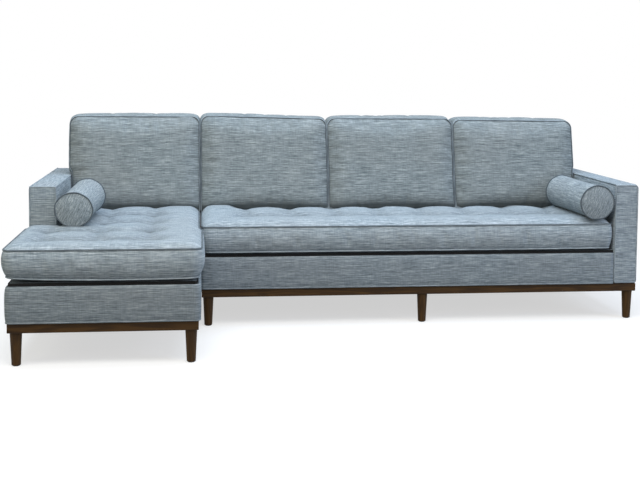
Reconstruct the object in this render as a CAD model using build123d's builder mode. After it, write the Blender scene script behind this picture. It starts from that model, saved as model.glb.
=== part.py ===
"""Two-piece sectional sofa: a long sofa with the right arm and a chaise with the left arm.

The origin is at the floor under the middle of the whole object. +X is the viewer's right, -Y is the
front and +Z is up. All sizes are in millimetres.
"""

import os
from math import cos, radians, sin, tan

from build123d import *

# Plan of the two pieces
CHAISE_WIDTH = 750.0
SOFA_WIDTH = 2052.0
SOFA_DEPTH = 940.0
CHAISE_REACH = 610.0
MODULE_GAP = 3.0

# Legs, glides and hanger bolts
LEG_HEIGHT = 130.0
LEG_TOP_DIAMETER = 48.0
LEG_FOOT_DIAMETER = 36.0
SOFA_LEGS_IN_ROW = 3
CHAISE_LEGS_IN_ROW = 2
GLIDE_HEIGHT = 4.0
GLIDE_DIAMETER = 28.0
GLIDE_EDGE = 1.0
GLIDE_PIN_DIAMETER = 6.0
GLIDE_PIN_LENGTH = 14.0
BOLT_DIAMETER = 8.0
BOLT_IN_LEG = 30.0
BOLT_IN_RAIL = 26.0
BOLT_CLEARANCE = 0.1

# Walnut plinth rails
RAIL_HEIGHT = 36.0
RAIL_WIDTH = 60.0
RAIL_INSET = 4.5
RAIL_EDGE = 2.0

# Hardwood seat boards, webbing, deck and dust cloth
BOARD_THICKNESS = 24.0
BOARD_HEIGHT = 146.0
STRETCHER_HEIGHT = 118.0
STRETCHER_COUNT = 2
STRAP_WIDTH = 50.0
STRAP_THICKNESS = 2.0
STRAP_PITCH = 115.0
DECK_THICKNESS = 12.0
DUST_CLOTH = 1.5

# Upholstery of the base, the arms and the backs
PADDING = 12.0
PAD_ROUND = 9.0
ARM_WIDTH = 117.0
ARM_HEIGHT = 642.0
BACK_HEIGHT = 807.0
BACK_TOP_THICKNESS = 125.0
BACK_LEAN = 10.0

# Frames inside the arms and the backs
FRAME_RAIL = 40.0
FRAME_POST = 45.0
ARM_FRAME_DEPTH = 70.0
BACK_FRAME_DEPTH = 50.0
ARM_POSTS = 2
SOFA_BACK_POSTS = 4
CHAISE_BACK_POSTS = 2

# Sectional connectors between the plinths
PLATE_THICKNESS = 2.0
PLATE_LENGTH = 60.0
PLATE_HEIGHT = 28.0
TONGUE_THICKNESS = 2.0
TONGUE_FIT = 0.4
LIP_HEIGHT = 18.0
CONNECTOR_DROP = 4.0
CONNECTOR_PLACES = (150.0, 650.0)

# Seat cushions
BOXING = 124.0
CRUMB_GAP = 6.0
SEAT_CROWN = 22.0
CROWN_REACH = 150.0
CROWN_STEPS = (0, 30, 60, 90)
SIDE_BULGE = 12.0
CORNER_RADIUS = 30.0
NOTCH_RADIUS = 5.0
SOFT_CLEARANCE = 0.3
SIDE_CLEARANCE = 3.0
BACK_CLEARANCE = 4.0

# Sewn tufts of the seat cushions
TUFT_DEPTH = 18.0
TUFT_MOUTH = 56.0
TUFT_STITCH = 6.0
TUFT_ROW_PITCH = 213.0
FIRST_TUFT_ROW = 165.0
LAST_TUFT_MARGIN = 100.0
BENCH_CELLS = 9
CHAISE_CELLS = 3

# Back cushions
BACK_BOXING = 190.0
BACK_FRONT_CROWN = 34.0
BACK_REAR_CROWN = 30.0
BACK_CUSHION_HEIGHT = 485.0
BACK_CUSHION_TOP = 932.0
BACK_CORNER_RADIUS = 45.0
BACK_CUSHION_GAP = 2.0
BACK_CUSHION_COUNT = 3

# Bolsters
BOLSTER_DIAMETER = 160.0
BOLSTER_LENGTH = 465.0
BOLSTER_END_CROWN = 10.0
DOME_STEPS = (0, 30, 60, 90)
BOLSTER_ARM_GAP = 9.0
BOLSTER_TOE = 1.6
SETTLE_STEPS = 4
LEFT_BOLSTER_FRONT = -116.0
RIGHT_BOLSTER_FRONT = -10.0

# Places in plan: the seat cushions bulge past the chaise's left and front faces
X_LEFT = SIDE_BULGE - (SIDE_BULGE + CHAISE_WIDTH + MODULE_GAP + SOFA_WIDTH) / 2
X_CHAISE_RIGHT = X_LEFT + CHAISE_WIDTH
X_SOFA_LEFT = X_CHAISE_RIGHT + MODULE_GAP
X_RIGHT = X_SOFA_LEFT + SOFA_WIDTH
X_LEFT_ARM_INNER = X_LEFT + ARM_WIDTH
X_RIGHT_ARM_INNER = X_RIGHT - ARM_WIDTH
Y_CHAISE_FRONT = SIDE_BULGE - (SIDE_BULGE + CHAISE_REACH + SOFA_DEPTH) / 2
Y_FRONT = Y_CHAISE_FRONT + CHAISE_REACH
Y_BACK = Y_FRONT + SOFA_DEPTH

# Heights
Z_RAIL = GLIDE_HEIGHT + LEG_HEIGHT
Z_BASE = Z_RAIL + RAIL_HEIGHT
Z_BOARD_TOP = Z_BASE + BOARD_HEIGHT
Z_DECK = Z_BOARD_TOP + STRAP_THICKNESS
Z_DECK_TOP = Z_DECK + DECK_THICKNESS
Z_BOXING = Z_DECK_TOP + CRUMB_GAP
Z_PIPING = Z_BOXING + BOXING
Z_SEAT = Z_PIPING + SEAT_CROWN

# The leaning inner face of the backs, and the vertical line that it stands on
LEAN_RISE = tan(radians(BACK_LEAN))
Y_BACK_FOOT = Y_BACK - BACK_TOP_THICKNESS - (BACK_HEIGHT - Z_DECK_TOP) * LEAN_RISE
Y_BOARDS_BACK = Y_BACK_FOOT - BOARD_THICKNESS

# Plan lines of the seat boards
X_SOFA_BOARD = X_SOFA_LEFT + PADDING
X_CHAISE_BOARD = X_CHAISE_RIGHT - PADDING
X_EAR_BOARD = X_LEFT + PADDING
Y_SOFA_BOARD = Y_FRONT + PADDING
Y_CHAISE_BOARD = Y_CHAISE_FRONT + PADDING

LEG_INSET = RAIL_INSET + RAIL_WIDTH / 2


def save(piece, label):
    """Name a finished piece and write it to its own file."""
    piece.part.label = label
    export_step(piece.part, f"parts/{label}.step")


def middle(span):
    """The middle of a pair of numbers."""
    return (span[0] + span[1]) / 2


def slab(x_span, y_span, z_span, lower_edge=0.0):
    """A rectangular piece between pairs of planes, with its lower edges eased where asked."""
    with BuildPart() as piece:
        with BuildSketch(Plane.XY.offset(z_span[0])):
            with Locations((middle(x_span), middle(y_span))):
                Rectangle(x_span[1] - x_span[0], y_span[1] - y_span[0])
        extrude(amount=z_span[1] - z_span[0])
        if lower_edge:
            chamfer(piece.faces().sort_by(Axis.Z)[0].edges(), lower_edge)
    return piece


def plinth_rail(x_span, y_span, leg_places=()):
    """A walnut rail with eased lower edges, bored from below for the hanger bolts."""
    with BuildPart() as rail:
        add(slab(x_span, y_span, (Z_RAIL, Z_BASE), RAIL_EDGE).part)
        for x, y in leg_places:
            with BuildSketch(Plane.XY.offset(Z_RAIL)):
                with Locations((x, y)):
                    Circle(BOLT_DIAMETER / 2 + BOLT_CLEARANCE)
            extrude(amount=BOLT_IN_RAIL, mode=Mode.SUBTRACT)
    return rail


def turned_legs(places):
    """Round legs that taper to the foot, bored for the hanger bolt above and the glide pin below."""
    with BuildPart() as legs:
        with Locations(*[(x, y, GLIDE_HEIGHT) for x, y in places]):
            Cone(
                LEG_FOOT_DIAMETER / 2,
                LEG_TOP_DIAMETER / 2,
                LEG_HEIGHT,
                align=(Align.CENTER, Align.CENTER, Align.MIN),
            )
        with Locations(*[(x, y, Z_RAIL) for x, y in places]):
            Hole(BOLT_DIAMETER / 2 + BOLT_CLEARANCE, depth=BOLT_IN_LEG)
        with BuildSketch(Plane.XY.offset(GLIDE_HEIGHT)):
            with Locations(*places):
                Circle(GLIDE_PIN_DIAMETER / 2)
        extrude(amount=GLIDE_PIN_LENGTH, mode=Mode.SUBTRACT)
    return legs


def hanger_bolts(places):
    """Steel bolts that stand in the legs and screw up into the rails."""
    with BuildPart() as bolts:
        with BuildSketch(Plane.XY.offset(Z_RAIL - BOLT_IN_LEG)):
            with Locations(*places):
                Circle(BOLT_DIAMETER / 2)
        extrude(amount=BOLT_IN_LEG + BOLT_IN_RAIL)
    return bolts


def glides(places):
    """Nail-on glides: a round foot on the floor, eased at its edge, and a pin in the leg."""
    with BuildPart() as feet:
        with BuildSketch():
            with Locations(*places):
                Circle(GLIDE_DIAMETER / 2)
        extrude(amount=GLIDE_HEIGHT)
        chamfer(feet.faces().group_by(Axis.Z)[0].edges(), GLIDE_EDGE)
        with BuildSketch(Plane.XY.offset(GLIDE_HEIGHT)):
            with Locations(*places):
                Circle(GLIDE_PIN_DIAMETER / 2)
        extrude(amount=GLIDE_PIN_LENGTH)
    return feet


def straps(x_span, y_span, along_x):
    """Webbing straps side by side, laid over two facing seat boards."""
    size = (x_span[1] - x_span[0], y_span[1] - y_span[0])
    across = size[1] if along_x else size[0]
    count = int((across - STRAP_WIDTH) // STRAP_PITCH) + 1
    with BuildPart() as webbing:
        with BuildSketch(Plane.XY.offset(Z_BOARD_TOP)):
            with Locations((middle(x_span), middle(y_span))):
                if along_x:
                    with GridLocations(STRAP_PITCH, STRAP_PITCH, 1, count):
                        Rectangle(size[0], STRAP_WIDTH)
                else:
                    with GridLocations(STRAP_PITCH, STRAP_PITCH, count, 1):
                        Rectangle(STRAP_WIDTH, size[1])
        extrude(amount=STRAP_THICKNESS)
    return webbing


def padded_panel(x_span, y_span, outer_faces, round_ends=False):
    """A base panel of padding under fabric, soft along the top edge of its outer faces."""
    with BuildPart() as panel:
        add(slab(x_span, y_span, (Z_BASE, Z_DECK_TOP)).part)
        outer = [panel.faces().sort_by(axis)[end] for axis, end in outer_faces]
        soft = ShapeList(face.edges().sort_by(Axis.Z)[-1] for face in outer)
        if round_ends:
            soft += outer[0].edges().filter_by(Axis.Z)
        fillet(soft, PAD_ROUND)
    return panel


def frame_rails(x_span, y_span, top):
    """The two long rails of a hidden frame, one on the base and one under the top padding."""
    with BuildPart() as rails:
        for low in (Z_BASE, top - PADDING - FRAME_RAIL):
            add(slab(x_span, y_span, (low, low + FRAME_RAIL)).part)
    return rails


def frame_posts(x_span, y_span, top, along_x, count):
    """Upright posts evenly spaced between the two rails of a hidden frame."""
    with BuildPart() as posts:
        with BuildSketch(Plane.XY.offset(Z_BASE + FRAME_RAIL)):
            with Locations((middle(x_span), middle(y_span))):
                if along_x:
                    pitch = (x_span[1] - x_span[0] - FRAME_POST) / (count - 1)
                    with GridLocations(pitch, pitch, count, 1):
                        Rectangle(FRAME_POST, y_span[1] - y_span[0])
                else:
                    pitch = (y_span[1] - y_span[0] - FRAME_POST) / (count - 1)
                    with GridLocations(pitch, pitch, 1, count):
                        Rectangle(x_span[1] - x_span[0], FRAME_POST)
        extrude(amount=top - PADDING - 2 * FRAME_RAIL - Z_BASE)
    return posts


def make_arm(side, x_span):
    """One arm: a hidden ladder frame and the padded block that is upholstered over it."""
    slack = (ARM_WIDTH - ARM_FRAME_DEPTH) / 2
    frame_x = (x_span[0] + slack, x_span[1] - slack)
    frame_y = (Y_FRONT + PADDING, Y_BACK - PADDING)
    rails = frame_rails(frame_x, frame_y, ARM_HEIGHT)
    posts = frame_posts(frame_x, frame_y, ARM_HEIGHT, False, ARM_POSTS)
    with BuildPart() as block:
        add(slab(x_span, (Y_FRONT, Y_BACK), (Z_BASE, ARM_HEIGHT)).part)
        soft = block.faces().sort_by(Axis.Z)[-1].edges()
        soft += block.faces().sort_by(Axis.Y)[0].edges().filter_by(Axis.Z)
        fillet(soft, PAD_ROUND)
        add(rails.part, mode=Mode.SUBTRACT)
        add(posts.part, mode=Mode.SUBTRACT)
    save(rails, f"{side}_arm_rails")
    save(posts, f"{side}_arm_posts")
    save(block, f"{side}_arm_upholstery")


def make_back(name, x_span, post_count):
    """One back: a hidden frame and the padded block with the leaning inner face."""
    frame_x = (x_span[0] + PADDING, x_span[1] - PADDING)
    frame_y = (Y_BACK - PADDING - BACK_FRAME_DEPTH, Y_BACK - PADDING)
    rails = frame_rails(frame_x, frame_y, BACK_HEIGHT)
    posts = frame_posts(frame_x, frame_y, BACK_HEIGHT, True, post_count)
    with BuildPart() as block:
        with BuildSketch(Plane.YZ.offset(x_span[0])):
            with BuildLine():
                Polyline(
                    (Y_BACK_FOOT, Z_BASE),
                    (Y_BACK, Z_BASE),
                    (Y_BACK, BACK_HEIGHT),
                    (Y_BACK - BACK_TOP_THICKNESS, BACK_HEIGHT),
                    (Y_BACK_FOOT, Z_DECK_TOP),
                    close=True,
                )
            make_face()
        extrude(amount=x_span[1] - x_span[0])
        fillet(block.faces().sort_by(Axis.Z)[-1].edges(), PAD_ROUND)
        add(rails.part, mode=Mode.SUBTRACT)
        add(posts.part, mode=Mode.SUBTRACT)
    save(rails, f"{name}_back_rails")
    save(posts, f"{name}_back_posts")
    save(block, f"{name}_back_upholstery")


def inset_corners(corners, inset):
    """Move the corners of a right-angled outline, listed anticlockwise, in by the same distance."""
    points = [Vector(*corner) for corner in corners]
    moved = []
    for here, before, after in zip(points, points[-1:] + points[:-1], points[1:] + points[:1]):
        come = (here - before).normalized()
        leave = (after - here).normalized()
        shift = Vector(-come.Y - leave.Y, come.X + leave.X)
        moved.append(here + shift * inset)
    return moved


def split_corners(points):
    """The outward corners of an anticlockwise outline, and its inward ones."""
    outward, inward = [], []
    for here, before, after in zip(points, points[-1:] + points[:-1], points[1:] + points[:1]):
        turn = (here - before).cross(after - here).Z
        (outward if turn > 0 else inward).append(here)
    return outward, inward


def draw_section(plane, corners, inset, radius):
    """One section of a cushion: straight sides between rounded corners."""
    points = inset_corners(corners, inset)
    with BuildSketch(plane) as section:
        with BuildLine():
            Polyline(*points, close=True)
        make_face()
        for group, rounding in zip(split_corners(points), (radius, NOTCH_RADIUS)):
            if group:
                fillet([section.vertices().sort_by_distance(point)[0] for point in group], rounding)
    return section.sketch


def boxed_cushion(plane, corners, boxing, crowns, radius):
    """A boxed cushion about the middle plane of its boxing.

    The boxing swells between its two piped edges, and each face rises from its piping in a quarter
    of an ellipse to the crown. crowns holds the rise of the face behind the plane and in front of it.
    """
    with BuildPart() as cushion:
        sides = [
            draw_section(plane.offset(height), corners, inset, radius)
            for height, inset in ((-boxing / 2, SIDE_BULGE), (0, 0), (boxing / 2, SIDE_BULGE))
        ]
        loft(sides, ruled=True)
        for face, crown in zip((-1, 1), crowns):
            rings = []
            for angle in CROWN_STEPS:
                height = boxing / 2 + crown * sin(radians(angle))
                inset = SIDE_BULGE + CROWN_REACH * (1 - cos(radians(angle)))
                rings.append(draw_section(plane.offset(face * height), corners, inset, radius))
            loft(rings, ruled=True)
    return cushion


def tufted_seat(corners, tufts):
    """A seat cushion on its deck, with the dimple of a sewn tuft at each place."""
    slope = (TUFT_MOUTH - TUFT_STITCH) / TUFT_DEPTH
    cutter_height = TUFT_DEPTH + SEAT_CROWN
    plane = Plane.XY.offset(Z_BOXING + BOXING / 2)
    crowns = (CRUMB_GAP - SOFT_CLEARANCE, SEAT_CROWN)
    with BuildPart() as seat:
        add(boxed_cushion(plane, corners, BOXING, crowns, CORNER_RADIUS).part)
        with Locations(*[(x, y, Z_SEAT - TUFT_DEPTH) for x, y in tufts]):
            Cone(
                TUFT_STITCH,
                TUFT_STITCH + slope * cutter_height,
                cutter_height,
                align=(Align.CENTER, Align.CENTER, Align.MIN),
                mode=Mode.SUBTRACT,
            )
    return seat


def back_cushion(x_span):
    """A back cushion that leans on the back and stands flat on the seat cushion."""
    lean = radians(BACK_LEAN)
    forward = Vector(0, -cos(lean), sin(lean))
    upward = Vector(0, sin(lean), cos(lean))
    standoff = BACK_BOXING / 2 + BACK_REAR_CROWN + SOFT_CLEARANCE
    foot = Vector(middle(x_span), Y_BACK_FOOT, Z_DECK_TOP) + forward * standoff
    rise = (BACK_CUSHION_TOP - foot.Z - forward.Z * BACK_BOXING / 2) / upward.Z + SIDE_BULGE
    origin = foot + upward * (rise - BACK_CUSHION_HEIGHT)
    plane = Plane(origin=origin, x_dir=(1, 0, 0), z_dir=forward)
    half = (x_span[1] - x_span[0]) / 2
    corners = [(-half, 0), (half, 0), (half, BACK_CUSHION_HEIGHT), (-half, BACK_CUSHION_HEIGHT)]
    crowns = (BACK_REAR_CROWN, BACK_FRONT_CROWN)
    with BuildPart() as cushion:
        add(boxed_cushion(plane, corners, BACK_BOXING, crowns, BACK_CORNER_RADIUS).part)
        split(bisect_by=Plane.XY.offset(Z_SEAT + SOFT_CLEARANCE), keep=Keep.TOP)
    return cushion


def bolster(x_front, y_front, toe):
    """A round bolster with domed ends, lying front to back just over the top of a seat."""
    radius = BOLSTER_DIAMETER / 2
    turn = radians(toe)
    across = (cos(turn), sin(turn), 0)
    plane = Plane(origin=(x_front, y_front, Z_SEAT + BOLSTER_DIAMETER), x_dir=(0, 0, 1), z_dir=across)
    front_end = [
        (radius * sin(radians(angle)), BOLSTER_END_CROWN * cos(radians(angle))) for angle in DOME_STEPS
    ]
    rear_end = [(out, -BOLSTER_LENGTH - rise) for out, rise in reversed(front_end)]
    with BuildPart() as roll:
        with BuildSketch(plane):
            with BuildLine():
                Polyline(*front_end, *rear_end, close=True)
            make_face()
        revolve(axis=Axis(plane.origin, plane.y_dir))
    return roll


def tuft_rows(y_front, y_rear):
    """The rows of tufts that fit between the front and the rear of a seat."""
    room = y_rear - y_front - FIRST_TUFT_ROW - LAST_TUFT_MARGIN
    count = int(room // TUFT_ROW_PITCH) + 1
    return [y_front + FIRST_TUFT_ROW + row * TUFT_ROW_PITCH for row in range(count)]


def settle(roll, seat):
    """A roll lowered onto its seat until only the soft clearance is left between them."""
    lowered = roll.part
    for _ in range(SETTLE_STEPS):
        gap = lowered.distance_to(seat.part)
        lowered = lowered.moved(Location((0, 0, SOFT_CLEARANCE - gap)))
    with BuildPart() as settled:
        add(lowered)
    return settled


def make_plinth(name, x_span, y_span, legs_in_row):
    """Walnut rails round one piece, on a front row and a back row of legs."""
    outer_x = (x_span[0] + RAIL_INSET, x_span[1] - RAIL_INSET)
    front = (y_span[0] + RAIL_INSET, y_span[0] + RAIL_INSET + RAIL_WIDTH)
    back = (y_span[1] - RAIL_INSET - RAIL_WIDTH, y_span[1] - RAIL_INSET)
    leg_pitch = (x_span[1] - x_span[0] - 2 * LEG_INSET) / (legs_in_row - 1)
    all_places = []
    for row, rail_y in (("front", front), ("back", back)):
        places = [(x_span[0] + LEG_INSET + leg_pitch * leg, middle(rail_y)) for leg in range(legs_in_row)]
        save(plinth_rail(outer_x, rail_y, places), f"{name}_plinth_{row}")
        save(turned_legs(places), f"{name}_{row}_legs")
        all_places += places
    with BuildPart() as sides:
        for rail_x in (
            (outer_x[0], outer_x[0] + RAIL_WIDTH),
            (outer_x[1] - RAIL_WIDTH, outer_x[1]),
        ):
            add(plinth_rail(rail_x, (front[1], back[0])).part)
    save(sides, f"{name}_plinth_sides")
    save(hanger_bolts(all_places), f"{name}_leg_bolts")
    save(glides(all_places), f"{name}_glides")


def connector_piece(outline):
    """Two bent steel connector plates of one profile, at their places along the joint."""
    with BuildPart() as pair:
        for place in CONNECTOR_PLACES:
            with BuildSketch(Plane.XZ.offset(-(Y_FRONT + place))):
                with BuildLine():
                    Polyline(*outline, close=True)
                make_face()
            extrude(amount=PLATE_LENGTH / 2, both=True)
    return pair


os.makedirs("parts", exist_ok=True)

# Plinths and legs
make_plinth("sofa", (X_SOFA_LEFT, X_RIGHT), (Y_FRONT, Y_BACK), SOFA_LEGS_IN_ROW)
make_plinth("chaise", (X_LEFT, X_CHAISE_RIGHT), (Y_CHAISE_FRONT, Y_BACK), CHAISE_LEGS_IN_ROW)
rail_reach = RAIL_INSET + RAIL_WIDTH
x_sofa_middle = middle((X_SOFA_LEFT, X_RIGHT))
cross_x = (x_sofa_middle - RAIL_WIDTH / 2, x_sofa_middle + RAIL_WIDTH / 2)
save(plinth_rail(cross_x, (Y_FRONT + rail_reach, Y_BACK - rail_reach)), "sofa_plinth_cross_rail")

# Dust cloths between the plinth rails
cloth_z = (Z_BASE - DUST_CLOTH, Z_BASE)
with BuildPart() as sofa_dust_cloths:
    for bay in ((X_SOFA_LEFT + rail_reach, cross_x[0]), (cross_x[1], X_RIGHT - rail_reach)):
        add(slab(bay, (Y_FRONT + rail_reach, Y_BACK - rail_reach), cloth_z).part)
save(sofa_dust_cloths, "sofa_dust_cloths")
chaise_bay = (X_LEFT + rail_reach, X_CHAISE_RIGHT - rail_reach)
chaise_dust_cloth = slab(chaise_bay, (Y_CHAISE_FRONT + rail_reach, Y_BACK - rail_reach), cloth_z)
save(chaise_dust_cloth, "chaise_dust_cloth")

# Seat boards of the sofa
board_z = (Z_BASE, Z_BOARD_TOP)
sofa_boards_x = (X_SOFA_BOARD, X_RIGHT_ARM_INNER)
sofa_inner_y = (Y_SOFA_BOARD + BOARD_THICKNESS, Y_BOARDS_BACK)
save(slab(sofa_boards_x, (Y_SOFA_BOARD, sofa_inner_y[0]), board_z), "sofa_front_board")
save(slab(sofa_boards_x, (Y_BOARDS_BACK, Y_BACK_FOOT), board_z), "sofa_back_board")
with BuildPart() as sofa_side_boards:
    for low in (X_SOFA_BOARD, X_RIGHT_ARM_INNER - BOARD_THICKNESS):
        add(slab((low, low + BOARD_THICKNESS), sofa_inner_y, board_z).part)
save(sofa_side_boards, "sofa_side_boards")
with BuildPart() as sofa_stretchers:
    bay_width = (sofa_boards_x[1] - sofa_boards_x[0]) / (STRETCHER_COUNT + 1)
    for bay in range(1, STRETCHER_COUNT + 1):
        low = sofa_boards_x[0] + bay * bay_width - BOARD_THICKNESS / 2
        stretcher_z = (Z_BASE, Z_BASE + STRETCHER_HEIGHT)
        add(slab((low, low + BOARD_THICKNESS), sofa_inner_y, stretcher_z).part)
save(sofa_stretchers, "sofa_stretchers")

# Seat boards of the chaise: a wide bay in front of the arm and a narrow bay beside it
ear_x = (X_EAR_BOARD, X_EAR_BOARD + BOARD_THICKNESS)
right_x = (X_CHAISE_BOARD - BOARD_THICKNESS, X_CHAISE_BOARD)
beside_arm_x = (X_LEFT_ARM_INNER, X_LEFT_ARM_INNER + BOARD_THICKNESS)
chaise_inner_y = Y_CHAISE_BOARD + BOARD_THICKNESS
cross_y = (Y_FRONT - BOARD_THICKNESS, Y_FRONT)
chaise_boards = {
    "chaise_front_board": ((ear_x[0], right_x[1]), (Y_CHAISE_BOARD, chaise_inner_y)),
    "chaise_back_board": ((beside_arm_x[0], right_x[1]), (Y_BOARDS_BACK, Y_BACK_FOOT)),
    "chaise_right_board": (right_x, (chaise_inner_y, Y_BOARDS_BACK)),
    "chaise_ear_board": (ear_x, (chaise_inner_y, Y_FRONT)),
    "chaise_arm_board": (beside_arm_x, (Y_FRONT, Y_BOARDS_BACK)),
    "chaise_cross_board": ((ear_x[1], right_x[0]), cross_y),
}
for label, (x_span, y_span) in chaise_boards.items():
    save(slab(x_span, y_span, board_z), label)

# Webbing and decks
save(straps(sofa_boards_x, (Y_SOFA_BOARD, Y_BACK_FOOT), along_x=False), "sofa_webbing")
wide_bay_x = (ear_x[0], right_x[1])
narrow_bay_x = (beside_arm_x[0], right_x[1])
with BuildPart() as chaise_webbing:
    add(straps(wide_bay_x, (Y_CHAISE_BOARD, Y_FRONT), along_x=True).part)
    add(straps(narrow_bay_x, (Y_FRONT, Y_BACK_FOOT), along_x=True).part)
save(chaise_webbing, "chaise_webbing")
deck_z = (Z_DECK, Z_DECK_TOP)
save(slab(sofa_boards_x, (Y_SOFA_BOARD, Y_BACK_FOOT), deck_z), "sofa_deck")
save(slab(wide_bay_x, (Y_CHAISE_BOARD, Y_FRONT), deck_z), "chaise_front_deck")
save(slab(narrow_bay_x, (Y_FRONT, Y_BACK_FOOT), deck_z), "chaise_rear_deck")

# Base upholstery
sofa_front_x = (X_SOFA_LEFT, X_RIGHT_ARM_INNER)
save(padded_panel(sofa_front_x, (Y_FRONT, Y_SOFA_BOARD), [(Axis.Y, 0)]), "sofa_front_upholstery")
sofa_side_x = (X_SOFA_LEFT, X_SOFA_BOARD)
save(padded_panel(sofa_side_x, (Y_SOFA_BOARD, Y_BACK_FOOT), [(Axis.X, 0)]), "sofa_side_upholstery")
chaise_front = padded_panel(
    (X_LEFT, X_CHAISE_RIGHT),
    (Y_CHAISE_FRONT, Y_CHAISE_BOARD),
    [(Axis.Y, 0), (Axis.X, 0), (Axis.X, -1)],
    round_ends=True,
)
save(chaise_front, "chaise_front_upholstery")
chaise_left = padded_panel((X_LEFT, X_EAR_BOARD), (Y_CHAISE_BOARD, Y_FRONT), [(Axis.X, 0)])
save(chaise_left, "chaise_left_upholstery")
chaise_right_x = (X_CHAISE_BOARD, X_CHAISE_RIGHT)
chaise_right = padded_panel(chaise_right_x, (Y_CHAISE_BOARD, Y_BACK_FOOT), [(Axis.X, -1)])
save(chaise_right, "chaise_right_upholstery")

# Arms and backs
make_arm("left", (X_LEFT, X_LEFT_ARM_INNER))
make_arm("right", (X_RIGHT_ARM_INNER, X_RIGHT))
make_back("chaise", (X_LEFT_ARM_INNER, X_CHAISE_RIGHT), CHAISE_BACK_POSTS)
make_back("sofa", (X_SOFA_LEFT, X_RIGHT_ARM_INNER), SOFA_BACK_POSTS)

# Sectional connectors: the chaise's down-turned sockets drop over the sofa's up-turned tongues
socket_x = X_CHAISE_RIGHT - RAIL_INSET
tongue_x = socket_x + PLATE_THICKNESS + TONGUE_FIT
lip_x = tongue_x + TONGUE_THICKNESS + TONGUE_FIT
hook_x = X_SOFA_LEFT + RAIL_INSET
socket_top = Z_BASE - CONNECTOR_DROP
socket_low = socket_top - PLATE_HEIGHT
hook_floor = socket_low - PLATE_THICKNESS - TONGUE_FIT
socket_outline = [
    (socket_x, socket_low),
    (socket_x + PLATE_THICKNESS, socket_low),
    (socket_x + PLATE_THICKNESS, socket_top - PLATE_THICKNESS),
    (lip_x, socket_top - PLATE_THICKNESS),
    (lip_x, socket_top - LIP_HEIGHT),
    (lip_x + PLATE_THICKNESS, socket_top - LIP_HEIGHT),
    (lip_x + PLATE_THICKNESS, socket_top),
    (socket_x, socket_top),
]
hook_outline = [
    (tongue_x, hook_floor),
    (hook_x, hook_floor),
    (hook_x, hook_floor + PLATE_HEIGHT),
    (hook_x - PLATE_THICKNESS, hook_floor + PLATE_HEIGHT),
    (hook_x - PLATE_THICKNESS, hook_floor + PLATE_THICKNESS),
    (tongue_x + TONGUE_THICKNESS, hook_floor + PLATE_THICKNESS),
    (tongue_x + TONGUE_THICKNESS, socket_top - PLATE_THICKNESS - TONGUE_FIT),
    (tongue_x, socket_top - PLATE_THICKNESS - TONGUE_FIT),
]
save(connector_piece(socket_outline), "chaise_connector_sockets")
save(connector_piece(hook_outline), "sofa_connector_hooks")

# Seat cushions
seat_rear = Y_BACK_FOOT - BACK_CLEARANCE
bench_x = (X_SOFA_LEFT, X_RIGHT_ARM_INNER - SIDE_CLEARANCE)
bench_y = (Y_FRONT - SIDE_BULGE, seat_rear)
bench_corners = [
    (bench_x[0], bench_y[0]),
    (bench_x[1], bench_y[0]),
    (bench_x[1], bench_y[1]),
    (bench_x[0], bench_y[1]),
]
bench_pitch = (X_RIGHT_ARM_INNER - X_SOFA_LEFT) / BENCH_CELLS
bench_tufts = [
    (X_SOFA_LEFT + bench_pitch * column, y)
    for column in range(1, BENCH_CELLS)
    for y in tuft_rows(Y_FRONT, seat_rear)
]
bench_seat = tufted_seat(bench_corners, bench_tufts)
save(bench_seat, "bench_seat_cushion")

ear_left = X_LEFT - SIDE_BULGE
ear_rear = Y_FRONT - SIDE_CLEARANCE
narrow_left = X_LEFT_ARM_INNER + SIDE_CLEARANCE
chaise_corners = [
    (ear_left, Y_CHAISE_FRONT - SIDE_BULGE),
    (X_CHAISE_RIGHT, Y_CHAISE_FRONT - SIDE_BULGE),
    (X_CHAISE_RIGHT, seat_rear),
    (narrow_left, seat_rear),
    (narrow_left, ear_rear),
    (ear_left, ear_rear),
]
chaise_pitch = (X_CHAISE_RIGHT - X_LEFT_ARM_INNER) / CHAISE_CELLS
chaise_tufts = [
    (X_CHAISE_RIGHT - chaise_pitch * column, y)
    for column in range(1, CHAISE_CELLS)
    for y in tuft_rows(Y_CHAISE_FRONT, seat_rear)
]
chaise_tufts += [(X_LEFT_ARM_INNER, y) for y in tuft_rows(Y_CHAISE_FRONT, ear_rear)]
chaise_seat = tufted_seat(chaise_corners, chaise_tufts)
save(chaise_seat, "chaise_seat_cushion")

# Back cushions
chaise_cushion_x = (X_LEFT_ARM_INNER + SIDE_CLEARANCE, X_CHAISE_RIGHT)
save(back_cushion(chaise_cushion_x), "back_cushion_chaise")
row_width = bench_x[1] - bench_x[0]
cushion_width = (row_width - (BACK_CUSHION_COUNT - 1) * BACK_CUSHION_GAP) / BACK_CUSHION_COUNT
for place, label in enumerate(("left", "centre", "right")):
    low = bench_x[0] + place * (cushion_width + BACK_CUSHION_GAP)
    save(back_cushion((low, low + cushion_width)), f"back_cushion_{label}")

# Bolsters, each beside its arm and turned slightly away from it at the rear
from_arm = BOLSTER_ARM_GAP + BOLSTER_DIAMETER / 2
left_place = (X_LEFT_ARM_INNER + from_arm, Y_FRONT + LEFT_BOLSTER_FRONT)
save(settle(bolster(*left_place, -BOLSTER_TOE), chaise_seat), "left_bolster")
right_place = (X_RIGHT_ARM_INNER - from_arm, Y_FRONT + RIGHT_BOLSTER_FRONT)
save(settle(bolster(*right_place, BOLSTER_TOE), bench_seat), "right_bolster")
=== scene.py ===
"""Dresses the two-piece sectional sofa: tweed cushions, bolsters, padded arms and backs, walnut plinths."""

import logging
import math
from dataclasses import dataclass, field
from enum import Enum
from typing import Any, Sequence

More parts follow.
